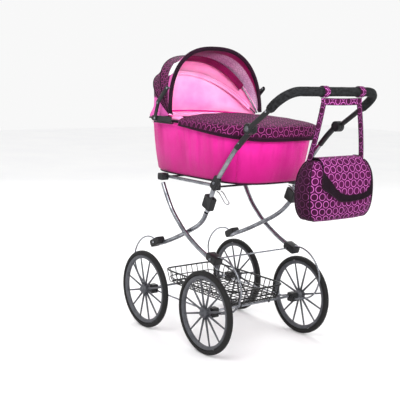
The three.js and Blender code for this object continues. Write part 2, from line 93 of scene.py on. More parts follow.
lamp("key", (1.2, -2.2, 3.0), (0, 0, 0.6), 1.8, 58)
lamp("fill", (2.6, 1.4, 2.0), (0, 0, 0.6), 2.0, 18)
lamp("hood_light", (2.2, -0.9, 1.5), (-0.17, 0.02, 0.86), 0.7, 3.4).spread = math.radians(34)
lamp("back_light", (-2.4, 1.2, 2.4), (0, 0, 0.7), 2.0, 42)
world = bpy.data.worlds.new("studio")
world.use_nodes = True
world.node_tree.nodes["Background"].inputs["Color"].default_value = (1.0, 1.0, 1.0, 1)
world.node_tree.nodes["Background"].inputs["Strength"].default_value = 0.94
bpy.context.scene.world = world
bpy.context.scene.view_settings.view_transform = "Standard"

# %% [markdown]
# Every finish is a small node tree. One helper adds a node and links or sets its sockets, so each
# material reads as a list of steps. Numbers that are the same all over go on the shader itself.

# %% Node helper
def add(tree, kind, settings=None, **inputs):
    """A new node; an input given as a socket is linked, anything else is set. _0 means input 0."""
    node = tree.nodes.new(kind)
    for key, value in (settings or {}).items():
        setattr(node, key, value)
    for key, value in inputs.items():
        slot = node.inputs[int(key[1:])] if key[1:].isdigit() else node.inputs[key.replace("_", " ")]
        if isinstance(value, bpy.types.NodeSocket):
            tree.links.new(value, slot)
        else:
            slot.default_value = value
    return node


def math_node(tree, operation, *values):
    return add(tree, "ShaderNodeMath", {"operation": operation},
               **{f"_{i}": v for i, v in enumerate(values)}).outputs[0]


def vector_node(tree, operation, *values, scale=None):
    node = add(tree, "ShaderNodeVectorMath", {"operation": operation},
               **{f"_{i}": v for i, v in enumerate(values)})
    if scale is not None:
        node.inputs["Scale"].default_value = scale
    return node.outputs["Value" if operation in ("LENGTH", "DISTANCE") else "Vector"]


def mix_colour(tree, share, a, b):
    """Colour a where share is 0 and colour b where it is 1."""
    return add(tree, "ShaderNodeMix", {"data_type": "RGBA"}, _0=share, _6=a, _7=b).outputs[2]


def rgb(red, green, blue):
    """A colour from its 0 to 255 values, as the shader wants it."""
    return tuple((v / 255 / 12.92 if v <= 10 else ((v / 255 + 0.055) / 1.055) ** 2.4)
                 for v in (red, green, blue)) + (1.0,)


def new_material(name, roughness, metallic=0.0, **shader):
    mat = bpy.data.materials.new(name)
    mat.use_nodes = True
    surface = mat.node_tree.nodes["Principled BSDF"]
    surface.inputs["Roughness"].default_value = roughness
    surface.inputs["Metallic"].default_value = metallic
    for key, value in shader.items():
        surface.inputs[key.replace("_", " ")].default_value = value
    return mat, mat.node_tree, surface


def speckle(tree, coordinates, scale):
    """Soft noise between 0 and 1."""
    grain = add(tree, "ShaderNodeTexNoise", Vector=coordinates, Scale=scale, Detail=4)
    return add(tree, "ShaderNodeMapRange", _0=grain.outputs["Fac"], _1=0.35, _2=0.65).outputs[0]


def bump(tree, surface, height, strength, distance):
    """Relief in the shading only, for what is under a millimetre."""
    node = add(tree, "ShaderNodeBump", Strength=strength, Distance=distance, Height=height)
    tree.links.new(node.outputs["Normal"], surface.inputs["Normal"])


# %% Hard finishes
def hard_finish(name, colour, worn, roughness, spread, metallic=0.0, scale=60, grain=900, relief=0.1,
                gloss=0.3):
    """Moulded or plated stock: blotches of wear in colour and shine, and a fine grain."""
    mat, tree, surface = new_material(name, roughness, metallic, Specular_IOR_Level=gloss)
    place = add(tree, "ShaderNodeTexCoord").outputs["Object"]
    blotch = speckle(tree, place, scale)
    tree.links.new(mix_colour(tree, blotch, colour, worn), surface.inputs["Base Color"])
    shine = add(tree, "ShaderNodeMapRange", _0=blotch, _3=roughness, _4=roughness + spread)
    tree.links.new(shine.outputs[0], surface.inputs["Roughness"])
    fine = add(tree, "ShaderNodeTexNoise", Vector=place, Scale=grain, Detail=3.0)
    bump(tree, surface, fine.outputs["Fac"], relief, 0.0004)
    return mat


CHROME = hard_finish("bright_chrome", rgb(150, 152, 158), rgb(108, 110, 116), 0.16, 0.16, 1.0, 40, 600,
                     0.04)
BLACK = hard_finish("black_moulding", rgb(12, 12, 14), rgb(24, 24, 27), 0.36, 0.2)
WHEEL_GREY = hard_finish("grey_moulding", rgb(66, 67, 72), rgb(84, 85, 90), 0.34, 0.2, 0.15)
RUBBER = hard_finish("tyre_rubber", rgb(12, 12, 13), rgb(26, 25, 25), 0.6, 0.2, 0.0, 90)
WIRE_COAT = hard_finish("coated_wire", rgb(8, 8, 9), rgb(20, 20, 22), 0.28, 0.15, 0.1)
FOAM = hard_finish("foam_sleeve", rgb(10, 10, 11), rgb(36, 37, 39), 0.78, 0.15, 0.0, 120, 1500, 0.5,
                   0.15)
WHITE_TAPE = hard_finish("white_label", rgb(238, 238, 240), rgb(214, 214, 218), 0.7, 0.1)
print("hard finishes", len(bpy.data.materials))

# %% [markdown]
# The fabrics are woven, so each has crossing threads under 1 mm. Patterns follow the cloth, which is
# why every cloth piece carries its own map in metres, called cloth. The print is rows of rings, each
# row moved by half a step, drawn from the distance to the nearest ring's centre.

# %% Weave and ring print
THREAD = 0.0011
RING_RADIUS = 0.385                              # these three are shares of the step between rings
RING_LINE_INNER, RING_LINE_OUTER = 0.022, 0.052  # from the line's middle: full colour, then none


def ring_print():
    """A node group: 1 on the printed rings, 0 between them."""
    tree = bpy.data.node_groups.new("ring_print", "ShaderNodeTree")
    tree.interface.new_socket("Vector", in_out="INPUT", socket_type="NodeSocketVector")
    tree.interface.new_socket("Pitch", in_out="INPUT", socket_type="NodeSocketFloat")
    tree.interface.new_socket("Ring", in_out="OUTPUT", socket_type="NodeSocketFloat")
    start, end = tree.nodes.new("NodeGroupInput"), tree.nodes.new("NodeGroupOutput")
    steps = add(tree, "ShaderNodeVectorMath", {"operation": "SCALE"}, _0=start.outputs["Vector"])
    tree.links.new(math_node(tree, "DIVIDE", 1.0, start.outputs["Pitch"]), steps.inputs["Scale"])
    cell = (1.0, math.sqrt(3), 0.0)
    distances = []
    for shift in ((0, 0, 0), (0.5, math.sqrt(3) / 2, 0)):
        moved = vector_node(tree, "ADD", steps.outputs["Vector"], shift)
        part = vector_node(tree, "FRACTION", vector_node(tree, "DIVIDE", moved, cell))
        from_middle = vector_node(tree, "SUBTRACT", part, (0.5, 0.5, 0.5))
        centred = vector_node(tree, "MULTIPLY", from_middle, cell)
        distances.append(vector_node(tree, "LENGTH", centred))
    nearest = math_node(tree, "MINIMUM", *distances)
    off = math_node(tree, "ABSOLUTE", math_node(tree, "SUBTRACT", nearest, RING_RADIUS))
    edge = add(tree, "ShaderNodeMapRange", {"interpolation_type": "SMOOTHSTEP"},
               _0=off, _1=RING_LINE_OUTER, _2=RING_LINE_INNER, _3=0.0, _4=1.0)
    tree.links.new(edge.outputs[0], end.inputs["Ring"])
    return tree


RING_PRINT = ring_print()


def weave_height(tree, cloth):
    """Threads that cross, as a height."""
    waves = vector_node(tree, "SINE", vector_node(tree, "SCALE", cloth, scale=2 * math.pi / THREAD))
    parts = add(tree, "ShaderNodeSeparateXYZ", _0=waves)
    return math_node(tree, "MULTIPLY", parts.outputs[0], parts.outputs[1])


# %% Cloth finishes
def cloth_finish(name, colour, shade, roughness, sheen, print_colour=None, pitch=0.026,
                 plain=None, border=None, low=None, own_map=True):
    """Woven cloth. It may carry printed rings, and a plain zone and a border where the piece's own
    attributes of those names say. low is painted shade that it takes lower down and in upright folds."""
    mat, tree, surface = new_material(name, roughness, Sheen_Weight=sheen, Sheen_Roughness=0.45,
                                      Specular_IOR_Level=0.12)
    space = add(tree, "ShaderNodeTexCoord").outputs["Object"]
    cloth = add(tree, "ShaderNodeUVMap", {"uv_map": "cloth"}).outputs[0] if own_map else space
    tint = mix_colour(tree, speckle(tree, space, 11.0), colour, shade)
    if print_colour:
        wobble = add(tree, "ShaderNodeTexNoise", Vector=cloth, Scale=160.0)
        push = vector_node(tree, "SCALE", wobble.outputs["Color"], scale=0.0012)
        rings = add(tree, "ShaderNodeGroup", {"node_tree": RING_PRINT},
                    Vector=vector_node(tree, "ADD", cloth, push), Pitch=pitch)
        wear = add(tree, "ShaderNodeMapRange", _0=speckle(tree, space, 70.0), _3=0.7, _4=1.0).outputs[0]
        worn = math_node(tree, "MULTIPLY", rings.outputs[0], wear)
        tint = mix_colour(tree, worn, tint, print_colour)
    if low:
        # painted shade: the colour turns to low towards the bottom, where less light falls
        height = add(tree, "ShaderNodeSeparateXYZ", _0=space).outputs[2]
        painted_low_shade = add(tree, "ShaderNodeMapRange", _0=height, _1=0.70, _2=0.54).outputs[0]
        tint = mix_colour(tree, painted_low_shade, tint, low)
    for attribute, paint in (("plain", plain), ("border", border)):
        if paint:
            zone = add(tree, "ShaderNodeAttribute", {"attribute_name": attribute}).outputs["Fac"]
            tint = mix_colour(tree, zone, tint, paint)
    threads = weave_height(tree, cloth)
    if low:
        drawn = vector_node(tree, "MULTIPLY", space, (26, 26, 3.2))
        folds = add(tree, "ShaderNodeTexNoise", Vector=drawn, Scale=1.0, Detail=2.0).outputs["Fac"]
        threads = math_node(tree, "ADD", threads, math_node(tree, "MULTIPLY", folds, 46.0))
        # painted shade: the hollows of the fold noise take the low colour; the same noise also feeds the
        # bump
        painted_fold_shade = add(tree, "ShaderNodeMapRange", _0=folds, _1=0.52, _2=0.34, _3=0.0, _4=0.5).outputs[0]
        tint = mix_colour(tree, painted_fold_shade, tint, low)
    tree.links.new(tint, surface.inputs["Base Color"])
    bump(tree, surface, threads, 0.28, 0.0003)
    return mat


PLUM, PLUM_SHADE, RING_PINK = rgb(58, 4, 42), rgb(36, 2, 27), rgb(156, 60, 126)
# low is painted shade: the pink darkens lower down and in the hollows of its folds
PINK = cloth_finish("pink_cloth", rgb(218, 34, 150), rgb(198, 20, 130), 0.55, 0.12, low=rgb(156, 6, 98))
LINING = cloth_finish("lining_cloth", rgb(255, 178, 222), rgb(255, 140, 202), 0.62, 0.1)
PRINT = cloth_finish("ring_cloth", PLUM, PLUM_SHADE, 0.8, 0.02, RING_PINK, border=rgb(34, 3, 26),
                     plain=rgb(220, 92, 176))
BAG_PRINT = cloth_finish("bag_cloth", rgb(72, 6, 57), rgb(48, 3, 37), 0.8, 0.02, rgb(196, 98, 178),
                         border=rgb(18, 2, 15), plain=rgb(30, 3, 21))
NET = cloth_finish("net_cloth", rgb(216, 182, 210), rgb(186, 138, 180), 0.75, 0.1, rgb(112, 40, 96),
                   0.019, plain=rgb(140, 8, 88), border=rgb(96, 8, 66))
HOOD_PRINT = cloth_finish("hood_cloth", PLUM, PLUM_SHADE, 0.8, 0.02, RING_PINK, plain=rgb(214, 96, 172))
SLEEVE = cloth_finish("sleeve_cloth", rgb(140, 6, 84), rgb(104, 3, 62), 0.7, 0.1)
BINDING = cloth_finish("binding_tape", rgb(32, 3, 25), rgb(20, 2, 16), 0.75, 0.04)
PIPING = cloth_finish("piping_cord", rgb(38, 4, 30), rgb(22, 2, 17), 0.65, 0.04, own_map=False)
PAD_CLOTH = cloth_finish("mattress_cloth", rgb(255, 150, 205), rgb(250, 126, 190), 0.7, 0.15,
                         own_map=False)
THREAD_DARK = hard_finish("dark_thread", rgb(60, 10, 46), rgb(40, 6, 32), 0.6, 0.1)
THREAD_PINK = hard_finish("pink_thread", rgb(250, 120, 196), rgb(226, 84, 168), 0.6, 0.1)
FLOOR = hard_finish("studio_floor", rgb(250, 250, 250), rgb(247, 247, 248), 0.85, 0.05, 0.0, 2, 40,
                    0.0)
print("cloth finishes made;", len(bpy.data.materials), "materials in all")

# %% [markdown]
# The drawing is in millimetres, so `place` turns its points into the frame's metres. A cloth piece
# starts as a grid of points. Its map comes from the lengths along the grid, so threads and print keep
# their size. A finished piece rides on its body, and the plain nodes that it stands for are hidden.

# %% Mesh helpers
def place(points):
    """Drawing millimetres to frame metres."""
    p = np.asarray(points, float) / 1000
    p[..., 0] -= ORIGIN_SHIFT / 1000
    return p


def new_object(name, vertices, faces, edges=(), looks=()):
    mesh = bpy.data.meshes.new(name)
    mesh.from_pydata([tuple(v) for v in vertices], list(edges), faces)
    if faces:
        mesh.shade_smooth()
    obj = bpy.data.objects.new(name, mesh)
    bpy.context.scene.collection.objects.link(obj)
    for look in looks:
        mesh.materials.append(look)
    return obj


def evaluated(obj):
    """Turns the modifiers' result into the object's own mesh."""
    depsgraph = bpy.context.evaluated_depsgraph_get()
    made = bpy.data.meshes.new_from_object(obj.evaluated_get(depsgraph), preserve_all_data_layers=True,
                                           depsgraph=depsgraph)
    obj.modifiers.clear()
    obj.data = made
    return obj


def outward(obj):
    """Points every face of a closed piece outwards."""
    shape = bmesh.new()
    shape.from_mesh(obj.data)
    bmesh.ops.remove_doubles(shape, verts=shape.verts, dist=1e-6)
    bmesh.ops.recalc_face_normals(shape, faces=shape.faces)
    shape.to_mesh(obj.data)
    shape.free()
    return obj


def cloth_grid(name, grid, looks, closed=False, values=None, tip=None, uv=None):
    """A skin over rows of points in millimetres. closed joins the last column to the first, tip is a
    point that closes the first row, and values are the piece's painted zones."""
    points = place(grid)
    rows, columns = points.shape[:2]
    across = np.linalg.norm(np.diff(points, axis=1, append=points[:, :1]), axis=2)
    along = np.linalg.norm(np.diff(points, axis=0), axis=2).mean(axis=1)
    middle = across[np.argmax(across.sum(axis=1))]
    u = np.concatenate([[0], np.cumsum(middle)])
    v = np.concatenate([[0], np.cumsum(along)])
    faces, maps = [], []
    for i in range(rows - 1):
        for j in range(columns if closed else columns - 1):
            k = (j + 1) % columns
            below, above = i * columns, (i + 1) * columns
            faces.append((below + j, below + k, above + k, above + j))
            corners = ((i, j), (i, j + 1), (i + 1, j + 1), (i + 1, j))
            maps += [(u[b], v[a]) if uv is None else tuple(uv[a, b % columns]) for a, b in corners]
    vertices = points.reshape(-1, 3)
    if tip is not None:
        vertices = np.vstack([vertices, place([tip])])
        for j in range(columns):
            faces.append((rows * columns, (j + 1) % columns, j))
            maps += [(u[j], -0.1), (u[j + 1], 0), (u[j], 0)]
    obj = new_object(name, vertices, faces, looks=looks)
    layer = obj.data.uv_layers.new(name="cloth")
    layer.data.foreach_set("uv", np.asarray(maps, np.float32).ravel())
    for attribute, zone in (values or {}).items():
        data = obj.data.attributes.new(attribute, "FLOAT", "POINT")
        full = np.zeros(len(vertices), np.float32)
        full[:rows * columns] = np.asarray(zone, np.float32).ravel()
        data.data.foreach_set("value", full)
    return obj


# %% Finishing helpers
def thicken(obj, thickness, offset=-1.0, inner=0):
    """Gives cloth its thickness, and its inner side another look."""
    wall = obj.modifiers.new("wall", "SOLIDIFY")
    wall.thickness, wall.offset, wall.material_offset = thickness / 1000, offset, inner
    wall.use_even_offset = False
    return evaluated(obj)


def face_away(obj, centre, flip=False):
    """Makes an open skin's faces look away from a point, so that its wall grows inwards."""
    middle = Vector(place(centre))
    score = sum((p.center - middle).dot(p.normal) * p.area for p in obj.data.polygons)
    if (score < 0) != flip:
        obj.data.flip_normals()
    return obj


def ring_faces(count, rings):
    """The four-sided faces between closed rings of as many points each."""
    return [(i * count + j, i * count + (j + 1) % count, (i + 1) * count + (j + 1) % count,
             (i + 1) * count + j) for i in range(rings - 1) for j in range(count)]


def done(piece, body, slot, *nodes):
    """Hangs a piece on the body that carries it and hides the plain nodes that it stands for. slot, the
    piece's finish, is not used.
    """
    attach(piece, body)
    if nodes:
        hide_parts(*nodes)
    print(piece.name, len(piece.data.polygons), "faces on", body)
    return piece


def cloth_area(obj):
    return sum(p.area for p in obj.data.polygons)


# %% Smooth paths
def smooth_path(points, steps=8, closed=False):
    """Points on an even curve through the given ones, as bent tube takes it."""
    pts = [np.asarray(p, float) for p in points]
    n, made = len(pts), []
    for i in range(n if closed else n - 1):
        b, c = pts[i], pts[(i + 1) % n]
        a = pts[i - 1] if closed or i else 2 * b - c
        d = pts[(i + 2) % n] if closed or i < n - 2 else 2 * c - b
        g = [max(np.linalg.norm(q - p) ** 0.5, 1e-9) for p, q in ((a, b), (b, c), (c, d))]
        from_b = c - b + g[1] * ((b - a) / g[0] - (c - a) / (g[0] + g[1]))
        to_c = c - b + g[1] * ((d - c) / g[2] - (d - b) / (g[1] + g[2]))
        for t in np.arange(steps) / steps:
            made.append((2 * t**3 - 3 * t**2 + 1) * b + (t**3 - 2 * t**2 + t) * from_b
                        + (3 * t**2 - 2 * t**3) * c + (t**3 - t**2) * to_c)
    return made if closed else made + [pts[-1]]


def on_side(points, sign):
    """The same points on the left (-1) or right (1)."""
    return [(x, sign * y, z) for x, y, z in points]


def line_edges(runs):
    """The vertices and edges of separate lines; a run is its points, or its points and True if closed."""
    vertices, edges = [], []
    for run in runs:
        points, closed = run if isinstance(run, tuple) else (run, False)
        first, count = len(vertices), len(points)
        vertices += [tuple(p) for p in place(points)]
        edges += [(first + i, first + (i + 1) % count) for i in range(count if closed else count - 1)]
    return vertices, edges


# %% Studio floor
floor = new_object("studio_ground", [(x, y, 0) for x, y in ((-9, -9), (9, -9), (9, 9), (-9, 9))],
                   [(0, 1, 2, 3)], looks=[FLOOR])

# %% [markdown]
# Bent wire and tube is all over this pram: springs, legs, rails, hoops, the tray and the piping. One
# Geometry Nodes tree serves them all. It takes a plain line of edges, turns it into a curve and sweeps
# a round section along it, so a piece is only its line and its radius.

# %% Geometry Nodes: the tree's frame
def start_tree(name, *sizes):
    """A tree with a mesh going in, named sizes and a look; returns it with its two ends."""
    tree = bpy.data.node_groups.new(name, "GeometryNodeTree")
    tree.interface.new_socket("Geometry", in_out="INPUT", socket_type="NodeSocketGeometry")
    for size in sizes:
        tree.interface.new_socket(size, in_out="INPUT", socket_type="NodeSocketFloat")
    tree.interface.new_socket("Look", in_out="INPUT", socket_type="NodeSocketMaterial")
    tree.interface.new_socket("Geometry", in_out="OUTPUT", socket_type="NodeSocketGeometry")
    return tree, tree.nodes.new("NodeGroupInput"), tree.nodes.new("NodeGroupOutput")


def end_tree(tree, start, end, shape):
    real = add(tree, "GeometryNodeRealizeInstances", Geometry=shape).outputs[0]
    smooth = add(tree, "GeometryNodeSetShadeSmooth", Geometry=real).outputs[0]
    painted = add(tree, "GeometryNodeSetMaterial", Geometry=smooth, Material=start.outputs["Look"])
    tree.links.new(painted.outputs[0], end.inputs["Geometry"])
    return tree


def grow(obj, tree, look, **sizes):
    """Runs a tree on a piece and keeps the plain mesh that comes out."""
    modifier = obj.modifiers.new("grow", "NODES")
    modifier.node_group = tree
    names = {item.name: item.identifier for item in tree.interface.items_tree
             if item.item_type == "SOCKET" and item.in_out == "INPUT"}
    for name, value in sizes.items():
        modifier[names[name.replace("_", " ")]] = value
    modifier[names["Look"]] = look
    obj = evaluated(obj)
    if not obj.data.materials:
        obj.data.materials.append(look)
    return obj


def tube_tree():
    tree, start, end = start_tree("swept_tube", "Radius", "Sides")
    curve = add(tree, "GeometryNodeMeshToCurve", Mesh=start.outputs["Geometry"]).outputs[0]
    section = add(tree, "GeometryNodeCurvePrimitiveCircle", Resolution=start.outputs["Sides"],
                  Radius=start.outputs["Radius"]).outputs[0]
    swept = add(tree, "GeometryNodeCurveToMesh", Curve=curve, Profile_Curve=section, Fill_Caps=True)
    return end_tree(tree, start, end, swept.outputs[0])


TUBE_TREE = tube_tree()


def tubes(name, runs, radius, look, sides=16.0):
    """Round stock along each run, as one piece."""
    vertices, edges = line_edges(runs)
    obj = new_object(name, vertices, [], edges)
    return grow(obj, TUBE_TREE, look, Radius=radius / 1000, Sides=sides)


# %% [markdown]
# Spokes, rivets and stitches repeat. Each gets a tree that sets one small shape on many points: the
# spokes round a hub, the rivets on points that know which way they face, the stitches along a seam at
# an even step. Instances are made real at the end, because only real meshes are kept.

# %% Geometry Nodes: spokes, rivets and stitches
def spoke_tree():
    tree, start, end = start_tree("spoke_ring", "Count", "Inner", "Length", "Root", "Tip")
    ring = add(tree, "GeometryNodeMeshCircle", Vertices=start.outputs["Count"],
               Radius=start.outputs["Inner"]).outputs[0]
    spoke = add(tree, "GeometryNodeMeshCone", Vertices=14, Side_Segments=4,
                Radius_Bottom=start.outputs["Root"], Radius_Top=start.outputs["Tip"],
                Depth=start.outputs["Length"]).outputs[0]
    outwards = add(tree, "FunctionNodeAlignRotationToVector", {"axis": "Z"},
                   Vector=add(tree, "GeometryNodeInputPosition").outputs[0]).outputs[0]
    spokes = add(tree, "GeometryNodeInstanceOnPoints", Points=ring, Instance=spoke,
                 Rotation=outwards).outputs[0]
    upright = add(tree, "GeometryNodeTransform", Geometry=spokes,
                  Rotation=(math.pi / 2, math.radians(15), 0)).outputs[0]
    hub = add(tree, "GeometryNodeSampleIndex", {"data_type": "FLOAT_VECTOR"},
              Geometry=start.outputs["Geometry"],
              Value=add(tree, "GeometryNodeInputPosition").outputs[0])
    moved = add(tree, "GeometryNodeTransform", Geometry=upright, Translation=hub.outputs[0])
    return end_tree(tree, start, end, moved.outputs[0])


def rivet_tree():
    tree, start, end = start_tree("rivets", "Radius")
    dome = add(tree, "GeometryNodeMeshUVSphere", Segments=16, Rings=8,
               Radius=start.outputs["Radius"]).outputs[0]
    flat = add(tree, "GeometryNodeTransform", Geometry=dome, Scale=(1, 1, 0.55)).outputs[0]
    facing = add(tree, "GeometryNodeInputNamedAttribute", {"data_type": "FLOAT_VECTOR"},
                 Name="facing").outputs[0]
    turn = add(tree, "FunctionNodeAlignRotationToVector", {"axis": "Z"}, Vector=facing).outputs[0]
    set_down = add(tree, "GeometryNodeInstanceOnPoints", Points=start.outputs["Geometry"], Instance=flat,
                   Rotation=turn).outputs[0]
    return end_tree(tree, start, end, set_down)


def stitch_tree():
    tree, start, end = start_tree("stitches", "Step", "Radius")
    curve = add(tree, "GeometryNodeMeshToCurve", Mesh=start.outputs["Geometry"]).outputs[0]
    evenly = add(tree, "GeometryNodeResampleCurve", {"mode": "LENGTH"}, Curve=curve,
                 Length=start.outputs["Step"])
    thread = add(tree, "GeometryNodeMeshCylinder", {"fill_type": "NGON"}, Vertices=6,
                 Radius=start.outputs["Radius"],
                 Depth=math_node(tree, "MULTIPLY", start.outputs["Step"], 0.62)).outputs[0]
    along = add(tree, "FunctionNodeAlignRotationToVector", {"axis": "Z"},
                Vector=add(tree, "GeometryNodeInputTangent").outputs[0]).outputs[0]
    row = add(tree, "GeometryNodeInstanceOnPoints", Points=evenly.outputs[0], Instance=thread,
              Rotation=along).outputs[0]
    return end_tree(tree, start, end, row)


SPOKE_TREE, RIVET_TREE, STITCH_TREE = spoke_tree(), rivet_tree(), stitch_tree()
THREAD_RADIUS = 0.32 / 1000


def rivets(name, spots, radius, look=CHROME):
    """Domed heads; each spot is its point in millimetres and the way that it faces."""
    obj = new_object(name, place([at for at, _ in spots]), [])
    facing = obj.data.attributes.new("facing", "FLOAT_VECTOR", "POINT")
    facing.data.foreach_set("vector", np.asarray([to for _, to in spots], np.float32).ravel())
    return grow(obj, RIVET_TREE, look, Radius=radius / 1000)


def stitches(name, runs, look, step=4.2):
    """Short lengths of thread along each run."""
    vertices, edges = line_edges(runs)
    obj = new_object(name, vertices, [], edges)
    return grow(obj, STITCH_TREE, look, Step=step / 1000, Radius=THREAD_RADIUS)


print("trees", [tree.name for tree in bpy.data.node_groups])

# %% [markdown]
# Hubs, rims, tyres, discs and knobs are turned shapes: an outline spun round an axis. A short routine
# spins it, because it gives an exact section with clean rings of faces.

# %% Turned shapes and moulded blocks
def turned(name, outline, centre, looks, segments=72, direction=1):
    """Spins a closed (radius, distance along Y) outline; a radius of 0 is a pole."""
    vertices, rings, faces = [], [], []
    for radius, along in outline:
        y = centre[1] + direction * along
        if radius < 1e-6:
            rings.append([len(vertices)])
            vertices.append((centre[0], y, centre[2]))
            continue
        rings.append(range(len(vertices), len(vertices) + segments))
        for k in range(segments):
            a = 2 * math.pi * k / segments
            vertices.append((centre[0] + radius * math.cos(a), y, centre[2] + radius * math.sin(a)))
    for ring, after in zip(rings, rings[1:] + rings[:1]):
        if len(ring) == 1 and len(after) == 1:
            continue
        for k in range(segments):
            n = (k + 1) % segments
            corners = [ring[k % len(ring)], ring[n % len(ring)], after[n % len(after)],
                       after[k % len(after)]]
            faces.append(list(dict.fromkeys(corners)))
    return outward(new_object(name, place(vertices), faces, looks=looks))


def sharp_edges(obj, angle=35):
    """Keeps the shading crisp over real edges."""
    shape = bmesh.new()
    shape.from_mesh(obj.data)
    for edge in shape.edges:
        if len(edge.link_faces) == 2 and edge.calc_face_angle() > math.radians(angle):
            edge.smooth = False
    shape.to_mesh(obj.data)
    shape.free()
    return obj


def moulded_block(name, size, centre, tilt, look, round_by=2.2, recess=1.1):
    """A moulded fitting: rounded edges and a sunk panel on its two broad sides."""
    shape = bmesh.new()
    bmesh.ops.create_cube(shape, size=1)
    bmesh.ops.scale(shape, vec=size, verts=shape.verts)
    sides = [f for f in shape.faces if abs(f.normal.y) > 0.9]
    bmesh.ops.inset_individual(shape, faces=sides, thickness=min(size[0], size[2]) * 0.2,
                               depth=-recess)
    outer = [e for e in shape.edges if max(abs(v.co.y) for v in e.verts) > size[1] / 2 - 0.01
             or abs(e.verts[0].co.y - e.verts[1].co.y) > size[1] * 0.9]
    bmesh.ops.bevel(shape, geom=outer, offset=round_by, segments=4, profile=0.5, affect="EDGES")
    bmesh.ops.rotate(shape, cent=(0, 0, 0), matrix=Matrix.Rotation(-math.radians(tilt), 3, "Y"),
                     verts=shape.verts)
    bmesh.ops.translate(shape, vec=centre, verts=shape.verts)
    mesh = bpy.data.meshes.new(name)
    for v in shape.verts:
        v.co = Vector(place(v.co))
    bmesh.ops.recalc_face_normals(shape, faces=shape.faces)
    shape.to_mesh(mesh)
    shape.free()
    mesh.shade_smooth()
    mesh.materials.append(look)
    obj = bpy.data.objects.new(name, mesh)
    bpy.context.scene.collection.objects.link(obj)
    return sharp_edges(obj, 50)


# %% [markdown]
# ## Wheels
# Each wheel is one dark grey moulding, a stepped hub with twelve tapered spokes and a channelled rim,
# and a thin black tyre that is stretched over it. The outlines below are half sections, the way a
# turner would draw them.

# %% Wheels and tyres
HUB_X, HUB_Z, HUB_Y = 172.5, 135, 207
HUB_OUTLINE = [(0, 19.6), (4.5, 19.3), (7.5, 18.2), (9, 16.2), (9.4, 13), (10.4, 12.2), (13.6, 11.4),
               (16, 9.6), (17, 6.5), (17, -5), (15.6, -8), (12, -12), (11, -16), (5, -16), (4.7, -15),
               (4.7, 9), (0, 9)]
RIM_OUTLINE = [(107.6, -2.6), (108.8, -5.2), (112, -6.6), (116, -7.5), (118.3, -7.1), (119.2, -5.6),
               (119.2, 5.6), (118.3, 7.1), (116, 7.5), (112, 6.6), (108.8, 5.2), (107.6, 2.6),
               (106.9, 0)]
TYRE_OUTLINE = [(119.9, -6), (121.5, -8.6), (124, -9.7), (127, -9.9), (130, -9), (132.4, -7.2),
                (133.9, -5.1), (134.5, -3.6), (134.1, -3.1), (134.6, -2.6), (135, 0), (134.6, 2.6),
                (134.1, 3.1), (134.5, 3.6), (133.9, 5.1), (132.4, 7.2), (130, 9), (127, 9.9),
                (124, 9.7), (121.5, 8.6), (119.9, 6)]
for end, x_sign in ENDS:
    for side, sign in SIDES:
        hub_at = (x_sign * HUB_X, sign * HUB_Y, HUB_Z)
        body = f"{end}_{side}_wheel"
        rim = turned(f"rim_{end}_{side}", RIM_OUTLINE, hub_at, [WHEEL_GREY], 96)
        done(rim, body, "wheel_plastic", f"wheel_{end}_{side}")
        hub = turned(f"hub_{end}_{side}", HUB_OUTLINE, hub_at, [WHEEL_GREY], 48, sign)
        done(sharp_edges(hub), body, "wheel_plastic")
        spokes = grow(new_object(f"spokes_{end}_{side}", place([hub_at]), []), SPOKE_TREE, WHEEL_GREY,
                      Count=12, Inner=0.0145, Length=0.0945, Root=0.0038, Tip=0.0025)
        done(spokes, body, "wheel_plastic")
        tyre = turned(f"tyre_ring_{end}_{side}", TYRE_OUTLINE, hub_at, [RUBBER], 112)
        done(tyre, body, "tyre_rubber", f"tyre_{end}_{side}")

# %% [markdown]
# ## Chassis
# Plated round stock again: two axles, one long springy wire on each side, four curved legs that cross
# at a rivet, and two rails. The moulded fittings are rounded blocks with a sunk panel, as injection
# moulding leaves them.

# %% Axles and springs
AXLE_END, SPRING_Y = 217, 168


def spring_half(clamp_z, sign):
    """From the leg's clamp, whose height is given, round the C and in under the axle."""
    return [(sign * x, SPRING_Y, z) for x, z in (
        (174, clamp_z + 7), (192, 312), (220, 310), (256, 295), (287, 264), (300, 232), (297, 200),
        (282, 170), (256, 149), (222, 137), (HUB_X + 10, 128), (HUB_X - 12, 127))]


SPRING_LINE = spring_half(299, -1) + spring_half(301, 1)[::-1]
for end, x_sign in ENDS:
    x = x_sign * HUB_X
    rod = tubes(f"axle_rod_{end}", [[(x, -AXLE_END, HUB_Z), (x, AXLE_END, HUB_Z)]], 4, CHROME, 20.0)
    done(rod, "chassis", "chrome", f"axle_{end}")
    for side, sign in SIDES:
        block = moulded_block(f"axle_block_{end}_{side}", (26, 26, 30), (x, sign * 172, HUB_Z - 3), 0,
                              BLACK, 2.5)
        done(block, "chassis", "black_plastic")
for side, sign in SIDES:
    line = smooth_path(on_side(SPRING_LINE, sign), 6)
    spring = tubes(f"spring_wire_{side}", [line], 2.8, CHROME, 14.0)
    done(spring, "chassis", "chrome", f"spring_{side}")

